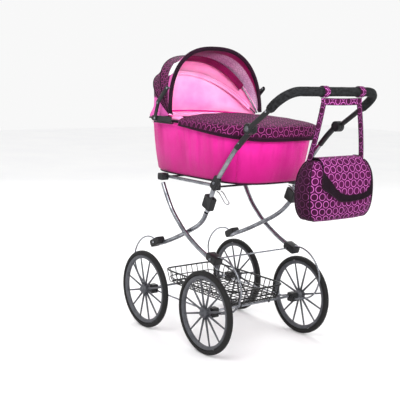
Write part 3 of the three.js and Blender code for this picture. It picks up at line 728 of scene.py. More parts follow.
# %% Legs, clamps and the cross rod
FRONT_LEG = [(-164, 159, 293), (-130, 159, 304), (-57, 159, 334), (12, 159, 367), (71, 163, 398),
             (106, 170, 424), (128, 177, 449)]
REAR_LEG = [(-118, 176, 514), (-104, 176, 490), (-62, 176, 430), (-20, 176, 391), (12, 176, 367),
            (50, 176, 345), (98, 176, 322), (150, 176, 304), (166, 176, 299)]
TUBE_RADIUS = 7.5
for side, sign in SIDES:
    for name, line in (("front", FRONT_LEG), ("rear", REAR_LEG)):
        path = smooth_path(on_side(line, sign), 8)
        leg = tubes(f"{name}_leg_tube_{side}", [path], TUBE_RADIUS, CHROME, 24.0)
        done(leg, "chassis", "chrome", f"{name}_leg_{side}")
    for name, x, z, tilt in (("front", -158, 299, 27), ("rear", 163, 301, -18)):
        clamp = moulded_block(f"leg_clamp_{name}_{side}", (50, 36, 25), (x, sign * 168, z + 3), tilt,
                              BLACK, 5.0, 1.5)
        done(clamp, "chassis", "black_plastic", f"clamp_{name}_{side}")
    heads = rivets(f"leg_rivets_{side}", [((x, sign * y, z), (0, sign, 0)) for x, y, z in (
        (12, 184, 367), (-158, 186, 302), (163, 186, 304), (-HUB_X, 185, 132), (HUB_X, 185, 132))], 4.6)
    done(heads, "chassis", "chrome")
cross_rod = tubes("rear_cross_rod", [[(163, -149.7, 303), (163, 149.7, 303)]], 2.6, CHROME)
done(cross_rod, "chassis", "chrome", "cross_rod_rear")

# %% Rails and cross bars
RAIL_Y, RAIL_Z, RAIL_FRONT, RAIL_REAR = 157, 541, -128, 158
for side, sign in SIDES:
    rail = tubes(f"rail_tube_{side}", [[(RAIL_FRONT + 14, sign * RAIL_Y, RAIL_Z - 6),
                                        (RAIL_REAR - 13, sign * RAIL_Y, RAIL_Z - 6)]], 5.5, CHROME, 20.0)
    done(rail, "chassis", "chrome", f"rail_{side}")
for end, x, y, width, depth in (("front", RAIL_FRONT, 169, 28, 30), ("rear", RAIL_REAR, 160.5, 26, 14)):
    bar = tubes(f"under_bar_{end}", [[(x, -y, RAIL_Z - 8), (x, y, RAIL_Z - 8)]], 3.2, BLACK)
    done(bar, "chassis", "black_plastic", f"cross_bar_{end}")
    for side, sign in SIDES:
        fitting = moulded_block(f"rail_fitting_{end}_{side}", (width, depth, 23),
                                (x, sign * y, RAIL_Z - 6.5), 0, BLACK, 3.2)
        done(fitting, "chassis", "black_plastic")

# %% [markdown]
# ## Wire tray
# The tray is welded from coated wire: a thick rim, a thinner wire under it, a wire round the floor
# and thin ones that run down one side, across and up the other in both directions. The tube tree
# sweeps the whole skeleton.

# %% Tray
def power_of(value, power):
    """Bends a sine or cosine so that a round outline turns into a rounded rectangle."""
    return np.sign(value) * np.abs(value) ** (2 / power)


def tray_ring(half_x, half_y, z, count=72):
    turn = 2 * np.pi * np.arange(count) / count
    return np.stack([half_x * power_of(np.cos(turn), 9), half_y * power_of(np.sin(turn), 9),
                     np.full(count, z)], axis=1)


tray_rim = tubes("tray_rim", [(tray_ring(198.5, 111.5, 190.4), True)], 3.0, WIRE_COAT, 12.0)
done(tray_rim, "chassis", "tray_wire", "tray")
hoops = [(tray_ring(190, 104, 163), True), (tray_ring(184.5, 98.5, 146), True)]
tray_hoops = tubes("tray_hoops", hoops, 1.9, WIRE_COAT, 10.0)
done(tray_hoops, "chassis", "tray_wire")
across = [[(x, -110.5, 190), (x, -99, 150), (x, -95, 145.6), (x, 95, 145.6), (x, 99, 150),
           (x, 110.5, 190)] for x in np.arange(-175, 176, 25)]
lengthwise = [[(-197.5, y, 190), (-186, y, 151), (-181, y, 147.6), (181, y, 147.6), (186, y, 151),
               (197.5, y, 190)] for y in np.arange(-84, 85, 24)]
tray_wires = tubes("tray_wires", across + lengthwise, 1.6, WIRE_COAT, 8.0)
done(tray_wires, "chassis", "tray_wire")
feet = [smooth_path([(x - 8, y, 146), (x - 6, y, 133), (x, y, 129.4), (x + 6, y, 133), (x + 8, y, 146)],
                    5) for x in (-HUB_X, HUB_X) for y in (-62, 62)]
tray_feet = tubes("tray_feet", feet, 1.5, WIRE_COAT, 8.0)
done(tray_feet, "chassis", "tray_wire")

# %% [markdown]
# ## Push handle
# Two plated tubes turn in clamps on the rear fittings, and a black moulded grip turns on toothed
# discs at their tops, each with a button. The grip is sleeved in foam, which is scuffed where it is held.

# %% Handle tubes, clamps and lock sleeves
HANDLE_Y = 177
HANDLE_LINE = [(132, HANDLE_Y, 452), (141, HANDLE_Y, 474), (156, HANDLE_Y, 514), (172, HANDLE_Y, 548),
               (214, HANDLE_Y, 601), (262, HANDLE_Y, 659), (285, HANDLE_Y, 683)]
TILT_X, TILT_Z = 335, 728
for side, sign in SIDES:
    line = smooth_path(on_side(HANDLE_LINE, sign), 8)
    tube = tubes(f"push_tube_{side}", [line], TUBE_RADIUS, CHROME, 24.0)
    done(tube, "push_handle", "chrome", f"handle_tube_{side}")
    clamp = moulded_block(f"push_clamp_{side}", (26, 17, 46), (172, sign * 178, 548), -35, BLACK, 3.5)
    done(clamp, "push_handle", "black_plastic", f"handle_pivot_{side}")
    heads = rivets(f"push_rivets_{side}", [((172, sign * 186.4, 548), (0, sign, 0))], 5.0)
    done(heads, "push_handle", "chrome")
    sleeve = moulded_block(f"lock_block_{side}", (44, 24, 40), (141, sign * HANDLE_Y, 482), 66.7, BLACK,
                           3.5, 1.6)
    done(sleeve, f"lock_{side}", "black_plastic", f"lock_sleeve_{side}")

# %% Tilt joints and buttons
DISC_OUTLINE = [(0, -6.3), (12, -6.3), (16, -5.6), (17, -4), (17, 4.6), (16.2, 6), (0, 6)]
OUTER_DISC = [(9.1, -0.5), (9.1, 8), (10.5, 8.6), (15, 8.2), (17, 6.4), (17, -5.6), (16, -6.6),
              (0, -6.6), (0, -0.5)]
BUTTON_OUTLINE = [(0, 3.4), (5, 3.2), (7.4, 2.4), (8.4, 1), (8.4, -3), (0, -3)]
for side, sign in SIDES:
    inner = turned(f"tilt_disc_{side}", DISC_OUTLINE, (TILT_X, sign * 175.3, TILT_Z), [BLACK], 48,
                   sign)
    done(sharp_edges(inner), "push_handle", "black_plastic", f"tilt_housing_{side}")
    socket = tubes(f"tilt_socket_{side}", [[(268, sign * 176.6, 665.5), (300, sign * 174, 697),
                                            (TILT_X - 8, sign * 173, TILT_Z - 7)]], 9.0, BLACK, 24.0)
    done(socket, "push_handle", "black_plastic")
    outer = turned(f"tilt_cap_{side}", OUTER_DISC, (TILT_X, sign * 189, TILT_Z), [BLACK], 48, sign)
    done(sharp_edges(outer), "grip", "black_plastic")
    button = turned(f"tilt_press_{side}", BUTTON_OUTLINE, (TILT_X, sign * 197, TILT_Z), [WHEEL_GREY], 36,
                    sign)
    done(sharp_edges(button), f"button_{side}", "black_plastic", f"tilt_button_{side}")

# %% Grip and foam
GRIP_Y, GRIP_X, GRIP_Z = 190, 492, 842
ARM = [(343, GRIP_Y, 733.5), (378, GRIP_Y, 757), (420, GRIP_Y, 786), (452, GRIP_Y, 810),
       (474, 181, 827), (487, 163, 838), (GRIP_X, 141, GRIP_Z), (GRIP_X, 119, GRIP_Z),
       (GRIP_X, 60, GRIP_Z)]


def across_bar(half):
    """A line up the left arm, over the bar and down the right arm, from its half."""
    return on_side(half, -1) + on_side(half, 1)[::-1]


grip_bar = tubes("grip_bar", [smooth_path(across_bar(ARM), 8)], 8.0, BLACK, 20.0)
done(grip_bar, "grip", "black_plastic", "grip_tube")
foam_line = smooth_path(across_bar([(429, GRIP_Y, 792.5)] + ARM[3:]), 10)
foam = tubes("foam_sleeve", [foam_line], 13.6, FOAM, 36.0)
for vertex in foam.data.vertices:
    dent = noise.noise(vertex.co * 55) * 0.00035 + noise.noise(vertex.co * 210) * 0.00018
    vertex.co += vertex.normal * dent
done(foam, "grip", "foam", "foam_grip")
for side, sign in SIDES:
    collar = tubes(f"foam_end_{side}", [[(424, sign * GRIP_Y, 788.9), (430, sign * GRIP_Y, 793.3)]], 12.2,
                   BLACK, 28.0)
    done(collar, "grip", "black_plastic")
grip_rivets = rivets("grip_rivets", [((415, sign * (GRIP_Y + 7.8), 782.5), (0, sign, 0))
                                     for _, sign in SIDES], 3.6)
done(grip_rivets, "grip", "chrome")

# %% Wire catches
inner, outer = 146, 162
for side, sign in SIDES:
    line = on_side([(160, inner, 519), (170, inner, 516), (190, inner, 498), (202, inner, 487),
                    (205, inner + 4, 484), (205, outer - 4, 484), (202, outer, 487), (190, outer, 498),
                    (170, outer, 516), (160, outer, 519)], sign)
    catch = tubes(f"catch_wire_{side}", [smooth_path(line, 6)], 1.6, CHROME, 12.0)
    done(catch, f"wire_catch_{side}", "chrome", f"catch_{side}")

# %% [markdown]
# ## Carrycot
# The cot is pink cloth pulled over a stiff wall, lined in light pink. Its outline at any height is a
# rounded rectangle, so the skin is a loft of such outlines. Real cloth is never quite flat: it is
# given a slight belly, tension folds under the rim and a sunk seam at each corner.

# %% Cot outline
COT_POWER, COT_REAR_CENTRE, COT_FRONT_CENTRE = 3.2, 60, -55
COT_BOTTOM, COT_TOP = 546, 722
# height, then how far the cot reaches to the front, to the rear and to each side
COT_LEVELS = np.array([[COT_BOTTOM, -236, 258, 150], [556, -250, 272, 160], [600, -257, 283, 168],
                       [660, -262, 294, 176], [702, -267, 303, 181], [COT_TOP, -272, 308, 183]], float)


def evenly(points, count, closed=True):
    """The same line with its points at even steps."""
    points = np.asarray(points, float)
    if closed:
        points = np.vstack([points, points[:1]])
    length = np.concatenate([[0], np.cumsum(np.linalg.norm(np.diff(points, axis=0), axis=1))])
    at = np.linspace(0, length[-1], count + 1 if closed else count)
    made = np.stack([np.interp(at, length, points[:, i]) for i in range(points.shape[1])], axis=1)
    return made[:-1] if closed else made


def cot_outline(height, grow=0.0, count=200, z=None):
    """The rounded rectangle of the cot at a height, grown outwards by so many millimetres."""
    front, rear, half = (np.interp(height, COT_LEVELS[:, 0], COT_LEVELS[:, i]) for i in (1, 2, 3))
    turn = np.linspace(0, 2 * np.pi, 1440, endpoint=False)
    c, s = power_of(np.cos(turn), COT_POWER), power_of(np.sin(turn), COT_POWER)
    x = np.where(c > 0, COT_REAR_CENTRE + (rear + grow - COT_REAR_CENTRE) * c,
                 COT_FRONT_CENTRE + (COT_FRONT_CENTRE - front + grow) * c)
    line = np.stack([x, (half + grow) * s, np.full_like(x, height if z is None else z)], axis=1)
    return evenly(line, count)


def outward_of(ring):
    """Which way the outline faces at each of its points."""
    ahead = np.roll(ring, -1, axis=0) - np.roll(ring, 1, axis=0)
    normal = np.stack([ahead[:, 1], -ahead[:, 0], np.zeros(len(ring))], axis=1)
    return normal / np.linalg.norm(normal, axis=1, keepdims=True)


def ease(value, low, high):
    """0 up to low, 1 from high on, and a smooth step between."""
    t = np.clip((value - low) / (high - low), 0, 1)
    return t * t * (3 - 2 * t)


def soft_noise(point, scale, amount):
    return noise.noise(Vector(point) * scale) * amount


# %% Cot skin
COT_COUNT = 240
picker = np.random.RandomState(7)
rim_line = cot_outline(COT_TOP, count=COT_COUNT)
corner = np.abs(rim_line[:, 1]) / 183 * np.clip(np.abs(rim_line[:, 0] - 2) / 250, 0, 1)
seams = [int(np.argmax(np.where((rim_line[:, 0] * a > 0) & (rim_line[:, 1] * b > 0), corner, -1)))
         for a in (-1, 1) for b in (-1, 1)]
folds = [(picker.uniform(0, COT_COUNT), picker.uniform(1.0, 2.6), picker.uniform(0.9, 2.8),
          picker.uniform(-3, 3)) for _ in range(38)]
folds += [(seam + step, 1.6, 1.5, 2.0 * np.sign(step)) for seam in seams
          for step in (-5, -2.6, 2.8, 5.4)]


def ring_distance(columns, at):
    """How many columns lie between, the shorter way round."""
    return np.abs((columns - at + COT_COUNT / 2) % COT_COUNT - COT_COUNT / 2)


cot_rows = [cot_outline(COT_BOTTOM, count=COT_COUNT) * (k, k, 1) + (2 * (1 - k), 0, 0)
            for k in (0.3, 0.6, 0.85, 0.96)]
columns = np.arange(COT_COUNT)
for z in np.linspace(COT_BOTTOM, COT_TOP - 0.5, 44):
    ring = cot_outline(z, count=COT_COUNT)
    share = (z - COT_BOTTOM) / (COT_TOP - COT_BOTTOM)
    push = 1.8 * math.sin(math.pi * share) * np.ones(COT_COUNT)
    for at, width, depth, lean in folds:
        gap = ring_distance(columns, at + lean * (1 - share))
        push -= depth * np.exp(-(gap / width) ** 2) * share ** 1.3
    for seam in seams:
        push -= 1.3 * np.exp(-(ring_distance(columns, seam) / 0.55) ** 2)
    push += np.array([soft_noise(p, 0.011, 1.5) + soft_noise(p, 0.05, 0.35) for p in ring])
    cot_rows.append(ring + outward_of(ring) * push[:, None])
cot_skin = cloth_grid("cot_shell", cot_rows, [PINK, LINING], closed=True, tip=(2, 0, COT_BOTTOM))
face_away(cot_skin, (10, 0, 640))
cot_skin = thicken(cot_skin, 2.4, inner=1)
done(cot_skin, "chassis", "pink_fabric", "cot_body")

# %% Cot seams and piping
bottom_piping = tubes("cot_bottom_piping", [(cot_outline(549, 1.4, 160), True)], 3.0, PIPING, 10.0)
done(bottom_piping, "chassis", "binding")
seam_runs = [[row[seam] + outward_of(row)[seam] * 1.4 for row in cot_rows[6:]] for seam in seams]
seam_cords = tubes("cot_seam_cords", seam_runs, 0.8, PINK, 8.0)
done(seam_cords, "chassis", "pink_fabric")
stitch_line = cot_outline(714, 2.0, 260)
rim_stitches = stitches("cot_rim_stitches", [np.vstack([stitch_line, stitch_line[:1]])], THREAD_PINK)
done(rim_stitches, "chassis", "pink_fabric")
band = [(-4.6, 722.6), (1.6, 722.4), (3.6, 724.2), (4.0, 727), (2.8, 729.4), (-3.6, 730), (-5.2, 728),
        (-5.4, 724.6), (-4.6, 722.6)]
binding_rows = [cot_outline(COT_TOP, grow, 200, z) for grow, z in band]
rim_binding = outward(cloth_grid("cot_rim_band", binding_rows, [BINDING], closed=True))
done(rim_binding, "chassis", "binding", "cot_rim_binding")

# %% [markdown]
# The mattress is the one real cushion here. A cloth simulation swells it: the plain pad is remeshed
# to small even faces, blown up a little with no gravity, and no point may move more than a few
# millimetres. The lining's folded top edge is a soft roll that lies inside the rim at the head end.

# %% Mattress
def pad_between(name, rings, look):
    """A closed plain pad over rings of points."""
    vertices = [tuple(v) for ring in rings for v in place(ring)]
    count = len(rings[0])
    faces = [tuple(reversed(range(count))), tuple(range((len(rings) - 1) * count, len(rings) * count))]
    return outward(new_object(name, vertices, faces + ring_faces(count, len(rings)), looks=[look]))


def swell(obj, voxel, pressure, most):
    """Remeshes a pad and lets cloth pressure round it. A far move is eased to stay under most mm."""
    remesh = obj.modifiers.new("even", "REMESH")
    remesh.mode, remesh.voxel_size = "VOXEL", voxel / 1000
    evaluated(obj)
    rest = np.zeros(len(obj.data.vertices) * 3, np.float32)
    obj.data.vertices.foreach_get("co", rest)
    cloth = obj.modifiers.new("cloth", "CLOTH")
    cloth.settings.use_pressure = True
    cloth.settings.uniform_pressure_force = pressure
    cloth.settings.effector_weights.gravity = 0
    for step in range(1, 21):
        bpy.context.scene.frame_set(step)
    evaluated(obj)
    bpy.context.scene.frame_set(1)
    now = np.zeros_like(rest)
    obj.data.vertices.foreach_get("co", now)
    move = (now - rest).reshape(-1, 3)
    size = np.linalg.norm(move, axis=1, keepdims=True)
    print(obj.name, len(move), "points; before easing, the farthest moved",
          round(float(size.max()) * 1000, 1), "mm")
    move *= most / (most + size * 1000)
    obj.data.vertices.foreach_set("co", (rest.reshape(-1, 3) + move).ravel())
    smooth = obj.modifiers.new("smooth", "SUBSURF")
    smooth.levels = smooth.render_levels = 1
    evaluated(obj).data.shade_smooth()
    return obj


mattress_rings = [cot_outline(556, grow, 90, z) for grow, z in (
    (-20, 556), (-13, 558), (-11, 562), (-11, 569), (-14, 573.5), (-24, 575))]
mattress = swell(pad_between("mattress_pad", mattress_rings, PAD_CLOTH), voxel=6, pressure=4, most=5)
BUTTON_SPOTS = ((-150, 0), (-40, 62), (-40, -62), (70, 62), (70, -62), (180, 0))
DIMPLE_DEEP, DIMPLE_WIDE = 0.004, 0.014
for x, y in BUTTON_SPOTS:
    dimple = Vector(place((x, y, 578)))
    for vertex in mattress.data.vertices:
        gap = (vertex.co - dimple).length
        if gap < 2.5 * DIMPLE_WIDE and vertex.co.z > 0.566:
            vertex.co.z -= DIMPLE_DEEP * math.exp(-(gap / DIMPLE_WIDE) ** 2)
done(mattress, "chassis", "lining_fabric", "mattress")
buttons = rivets("mattress_buttons", [((x, y, 574.6), (0, 0, 1)) for x, y in BUTTON_SPOTS], 5.5,
                 THREAD_PINK)
done(buttons, "chassis", "lining_fabric")

# %% Lining roll at the head end
ROLL_END = -22
head_half = [p for p in cot_outline(COT_TOP, -11, 200, 737) if p[0] < ROLL_END]
head_half = sorted(head_half, key=lambda p: math.atan2(p[1], -(p[0] - ROLL_END)))
roll = tubes("lining_roll", [smooth_path(head_half[::4] + [head_half[-1]], 4)], 7.4, LINING, 16.0)
for vertex in roll.data.vertices:
    vertex.co.z += noise.noise(vertex.co * 22) * 0.002 - 0.001
    vertex.co += vertex.normal * noise.noise(vertex.co * 60) * 0.001
done(roll, "chassis", "lining_fabric")

# %% [markdown]
# ## Foot cover
# A sheet of printed cloth lies over the rear half of the cot. It is domed a little, falls over the
# rim as a hem and is edged with dark tape. The grid is a fan from the middle of the free edge, which
# keeps that edge straight and lets the threads run true from it.

# %% Foot cover
COVER_FRONT, COVER_LONG = -15, 325
COVER_BEND, FOOT_DROP = 731, 3.5  # the height where it turns down, and how much lower it is at the foot
rim = cot_outline(COT_TOP, 8.5, 720)
half_rim = sorted((p for p in rim if p[0] > COVER_FRONT),
                  key=lambda p: math.atan2(p[1], p[0] - COVER_FRONT))
half_rim = [np.array([COVER_FRONT, half_rim[0][1], COT_TOP])] + half_rim + [
    np.array([COVER_FRONT, half_rim[-1][1], COT_TOP])]
half_rim = evenly(half_rim, 141, closed=False)
away = half_rim - np.array([COVER_FRONT, 0, COT_TOP])
inward = away / np.linalg.norm(away, axis=1, keepdims=True)


def cover_height(share):
    """The dome's height, from the fan's middle to the rim."""
    return np.interp(share, [0, 0.12, 0.45, 0.75, 0.9, 0.96, 1],
                     [754.5, 754, 751.5, 745.5, 739.5, 736, COVER_BEND])


def to_foot(row):
    """0 at the free edge and 1 at the foot."""
    return np.clip((row[:, 0] - COVER_FRONT) / COVER_LONG, 0, 1)


cover_rows, border = [], []
for share in np.concatenate([np.linspace(0, 0.9, 26), [0.94, 0.97, 0.99, 1.0]]):
    row = np.array([COVER_FRONT, 0, 0]) + away * (share, share, 0)
    drop = FOOT_DROP * to_foot(row) * share
    ripple = np.array([soft_noise((p[0], p[1], 0), 0.022, 2.2) + soft_noise((p[0], p[1], 5), 0.006, 3.0)
                       for p in row])
    taut = math.sin(math.pi * min(share, 1)) ** 0.7
    row[:, 2] = cover_height(share) - drop + ripple * taut
    cover_rows.append(row)
    border.append(np.zeros(len(row)))
for share in np.linspace(0.08, 1, 9):
    hem = 716 - 30 * to_foot(half_rim)
    row = half_rim + inward * (1.3 * math.sin(share * math.pi * 0.6))
    wave = np.array([soft_noise((p[0], p[1], 40 * share), 0.03, 1.6) for p in half_rim])
    row = row + inward * (wave * share)[:, None]
    row[:, 2] = (COVER_BEND - FOOT_DROP * to_foot(half_rim)) * (1 - share) + hem * share
    cover_rows.append(row)
    border.append(np.full(len(row), 1.0 if share > 0.74 else 0.0))
rows = np.array(cover_rows)
along = np.concatenate([np.zeros((1, rows.shape[1])),
                        np.cumsum(np.linalg.norm(np.diff(rows, axis=0), axis=2), axis=0)]) / 1000
cover_map = along[..., None] * inward[None, :, :2]
cover = cloth_grid("foot_cover_cloth", rows, [PRINT, LINING], values={"border": border},
                   uv=cover_map)
face_away(cover, (100, 0, 640))
cover = thicken(cover, 1.8, inner=1)
outward(cover)
done(cover, "chassis", "patterned_fabric", "foot_cover")

# %% Foot cover edges
hem_line = [p + q * 0.6 for p, q in zip(rows[-1], inward)]
edge_line = [tuple(r) for r in rows[:27, 0][::-1]] + [tuple(r) for r in rows[1:27, -1]]
edge_line = [(p[0] - 0.6, p[1], p[2] - 0.9) for p in edge_line]
cover_piping = tubes("foot_cover_piping", [hem_line, edge_line], 1.7, PIPING, 10.0)
done(cover_piping, "chassis", "binding")
thread_line = [p + q * 1.3 + (0, 0, 8.6) for p, q in zip(rows[-1], inward)]
hem_thread = stitches("foot_cover_stitches", [thread_line], THREAD_DARK)
done(hem_thread, "chassis", "binding")

# %% [markdown]
# ## Hood
# Three wire hoops turn about one line and the cloth is stretched between them. Each hoop is an arch in
# a plane through that line, and the cloth runs nearly straight from hoop to hoop, so it lies a little
# inside the arc.

# %% Hood arches
HOOD_X, HOOD_Z, HOOD_POWER = -55, 742, 2.5
# each arch's angle in degrees, its length from the hinge line and half its width
HOOD = {"front": (85.3, 231, 199), "middle": (51.4, 259, 195), "back": (32.8, 273, 192),
        "rim": (-1.0, 238, 190)}
FRONT_SAG, CROWN_SAG, BACK_SAG = 0.075, 0.03, 0.085
BACK_FLARE, HOOD_CLOTH_THICK = 11.0, 1.6


def arch(section, inset=0.0, first=0.05, last=None, count=96):
    """Points from the left foot over the top to the right one, in the arch's own plane."""
    angle, length, half = section
    t = np.linspace(first, math.pi - (first if last is None else last), count + 1)
    out = (length - inset) * np.sin(t) ** (2 / HOOD_POWER)
    y = -(half - inset) * power_of(np.cos(t), HOOD_POWER)
    a = math.radians(angle)
    return np.stack([HOOD_X - out * math.cos(a), y, HOOD_Z + out * math.sin(a)], axis=1)


def between(a, b, share, sag=0.0):
    """The arch at a share of the way from one to another, shortened by the cloth's sag."""
    angle, length, half = ((1 - share) * p + share * q for p, q in zip(HOOD[a], HOOD[b]))
    dip = 1 - sag * 4 * np.clip(share, 0, 1) * (1 - np.clip(share, 0, 1))
    return angle, length * dip, half


def hood_top(name):
    angle, length, _ = HOOD[name]
    a = math.radians(angle)
    return np.array([HOOD_X - length * math.cos(a), 0, HOOD_Z + length * math.sin(a)])


def bend_points(a, b, half_span):
    """Where the bend from one hoop to the next begins and ends, either side of the midway point."""
    start, end = hood_top(a), hood_top(b)
    middle, way = (start + end) / 2, (end - start) / np.linalg.norm(end - start)
    return [tuple(place(middle + way * d)) for d in (-half_span, half_span)]


def flared(row, share, flare):
    """Sets a row outwards at the head end, the more the lower it lies on the panel."""
    spread = flare * float(ease(share, 0.66, 1.08)) * ease(HOOD_X - row[:, 0], 60, 180)
    return row + (row - (HOOD_X, 0, 0)) * (1, 1, 0) / 240 * spread[:, None]


# %% Hood cloth
def hood_cloth(name, a, b, shares, sag, looks, zones, flare=0.0):
    """A sheet from one hoop to the next, with soft unevenness between them."""
    rows = []
    for share in shares:
        row = flared(arch(between(a, b, share, sag)), share, flare)
        pull = math.sin(math.pi * min(max(share, 0), 1))
        rows.append(np.array([p + (p - (HOOD_X, p[1] * 0.4, HOOD_Z - 40)) / 250
                              * (soft_noise(p, 0.016, 3.2) + soft_noise(p, 0.05, 1.0)) * pull for p in row]))
    grid = np.array(rows)
    obj = cloth_grid(name, grid, looks, values={key: zone(grid, np.asarray(shares))
                                                for key, zone in zones.items()})
    face_away(obj, (-90, 0, 742))
    area = cloth_area(obj)
    widths = np.linalg.norm(np.diff(grid, axis=1), axis=2).sum(axis=1).max() / 1000
    depth = np.linalg.norm(np.diff(grid, axis=0), axis=2).sum(axis=0).max() / 1000
    obj = thicken(obj, HOOD_CLOTH_THICK, inner=len(looks) - 1)
    area = min(area, widths * depth)
    print(name, "flat", round(widths, 3), round(depth, 3), "area", round(area, 4))
    return obj


# %% Hood panels
def top_zone(grid, shares):
    """The top of the front panel's net lining is darker; its two sides are pale."""
    turn = np.broadcast_to(np.linspace(0, math.pi, grid.shape[1]), grid.shape[:2])
    return 0.85 * ease(turn, 0.72, 1.0) * (1 - ease(turn, 1.55, 2.0))


def front_strip(grid, shares):
    """The strip next to the front hoop is plain."""
    return np.broadcast_to(1 - ease(shares, 0.31, 0.35), grid.shape[1::-1]).T


def low_band(grid, shares):
    """The back panel is plain pink under the print."""
    return 1 - ease(grid[..., 2], 797, 803)


FRONT_BEND = 60
front_panel = hood_cloth("hood_front_cloth", "front", "middle", np.linspace(-0.02, 1, 33), FRONT_SAG,
                         [HOOD_PRINT, NET], {"plain": front_strip, "border": top_zone})
crown_panel = hood_cloth("hood_crown_cloth", "middle", "back", np.linspace(0, 1, 13), CROWN_SAG,
                         [PRINT, LINING], {})
back_panel = hood_cloth("hood_back_cloth", "back", "rim", np.linspace(0, 1.1, 29), BACK_SAG,
                        [PRINT, LINING], {"plain": low_band}, BACK_FLARE)
for panel, a, b, hoops, half_span, nodes in (
        (front_panel, "hood_middle", "hood_front", ("middle", "front"), FRONT_BEND,
         ["hood_front_panel"]),
        (crown_panel, "hood_back", "hood_middle", ("back", "middle"), 38, []),
        (back_panel, "chassis", "hood_back", ("rim", "back"), 64, ["hood_back_panel"])):
    first, last = bend_points(*hoops, half_span)
    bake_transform(panel)
    if nodes:
        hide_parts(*nodes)

# %% Hoops, sleeve and edge tapes
FOOT_Y = {"front": 192.2, "middle": 185.4, "back": 178.6}
WIRE_INSET = 6.8
for name, foot_y in FOOT_Y.items():
    angle, length, _ = HOOD[name]
    line = arch((angle, length - WIRE_INSET, foot_y), 0, 0.02, count=80)
    hoop = tubes(f"hoop_wire_{name}", [line], 3.0, CHROME)
    done(hoop, f"hood_{name}", "chrome", f"hood_hoop_{name}")


def over_wire(hoop, depth, lift, tip, first, last=None, count=90, taper=0.0):
    """A line beside a hoop: depth 0 lies on the cloth and 1 on the wire, lift is further inwards and
    tip is to the front; taper is how far from the hinge the line reaches its full tip."""
    angle, length, half = HOOD[hoop]
    half = half + (FOOT_Y[hoop] - half) * depth - lift
    line = arch((angle, length - WIRE_INSET * depth - lift, half), 0, first, last, count)
    a = math.radians(angle)
    out = np.hypot(line[:, 0] - HOOD_X, line[:, 2] - HOOD_Z)
    share = np.clip(out / taper, 0, 1) if taper else np.ones(len(line))
    return line + (share * tip)[:, None] * (math.sin(a), 0, math.cos(a))


def hoop_band(name, hoop, half_width, look, last=None):
    """A band of cloth sewn inside the hood, under a hoop."""
    rows = [over_wire(hoop, 1, lift, half_width * tip, 0.1, last, 72, 70.0) for tip, lift in (
        (-1, 5.4), (-0.6, 4.8), (-0.2, 3.9), (0.2, 3.9), (0.6, 4.8), (1, 5.4))]
    obj = cloth_grid(name, rows, [look])
    face_away(obj, (-90, 0, 742), flip=True)
    return thicken(obj, 1.0)


sleeve = hoop_band("hoop_sleeve_middle", "middle", 15, SLEEVE, last=0.42)
done(sleeve, "hood_middle", "lining_fabric")
back_sleeve = hoop_band("hoop_sleeve_back", "back", 8.5, LINING)
done(back_sleeve, "hood_back", "lining_fabric")
tape_rows = [over_wire("front", depth, lift, tip, 0.02, count=110) for depth, lift, tip in (
    (0, -2.4, -2.6), (0, -3.0, 0), (0, -2.4, 2.6), (0.3, 0, 4.6), (0.7, 0, 4.8), (1, 2.6, 3.8),
    (1, 4.3, 0), (1, 2.6, -3.8), (0.7, 0, -4.8), (0.3, 0, -4.6), (0, -2.4, -2.6))]
edge_tape = cloth_grid("hood_edge_tape", tape_rows, [BINDING])
outward(edge_tape)
done(edge_tape, "hood_front", "binding")
for hoop in ("middle", "back"):
    cord = tubes(f"hood_seam_{hoop}", [arch(HOOD[hoop], -0.4, 0.03, count=90)], 1.7, PIPING, 14.0)
    done(cord, f"hood_{hoop}", "binding")
for name, share, inset, radius, look in (("hood_hem_tape", 1.1, -1.0, 2.8, PIPING),
                                         ("hood_inner_hem", 0.93, 10.8, 2.6, PINK)):
    line = flared(arch(between("back", "rim", share), inset, 0.03, count=90), share, BACK_FLARE)
    done(tubes(name, [line], radius, look, 12.0), "chassis", "binding")
thread_line = over_wire("front", 0, -0.9, -11, 0.12, count=120, taper=60.0)
edge_thread = stitches("hood_edge_stitches", [thread_line], THREAD_DARK)
done(edge_thread, "hood_front", "binding")

# %% Label and knob
patch = np.array([arch(between("front", "middle", share, FRONT_SAG), -1.6, 0.05, count=240)[42:66]
                  for share in np.linspace(0.08, 0.46, 10)])
label = cloth_grid("hood_label", patch, [WHITE_TAPE])
face_away(label, (-90, 0, 742))
label = thicken(label, 0.8)
first, last = bend_points("middle", "front", FRONT_BEND)
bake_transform(label)
knob = turned("hood_knob", [(0, 9), (3.5, 8.6), (5, 7), (5.2, 4), (3, 2.6), (3, -2), (0, -2)],
              (-64, 196, 830), [BLACK], 32)
done(knob, "hood_front", "black_plastic")

# %% [markdown]
# ## Stays
# A folding stay holds each side of the hood open. It is two flat links with round ends and bright
# rivets, standing on a plate beside the rim. A link is a flat outline pushed out to its thickness.

# %% Stays and plates
def link(name, start, end, y, width, thickness, look):
    """A flat bar with round ends between two pins."""
    (ax, az), (bx, bz) = start, end
    lean = math.atan2(bz - az, bx - ax)
    outline = []
    for (cx, cz), first in (((bx, bz), -90), ((ax, az), 90)):
        outline += [(cx + width / 2 * math.cos(lean + math.radians(first + step)),
                     cz + width / 2 * math.sin(lean + math.radians(first + step)))
                    for step in range(0, 181, 15)]
    count, half = len(outline), thickness / 2
    mx, mz = (ax + bx) / 2, (az + bz) / 2
    rings = [[(x + (mx - x) * pull, y + shift, z + (mz - z) * pull) for x, z in outline]
             for pull, shift in ((0.02, -half), (0, -half + 0.5), (0, half - 0.5), (0.02, half))]
    faces = [tuple(range(count)), tuple(reversed(range(3 * count, 4 * count)))] + ring_faces(count, 4)
    obj = new_object(name, place([p for ring in rings for p in ring]), faces, looks=[look])
    return sharp_edges(outward(obj), 40)


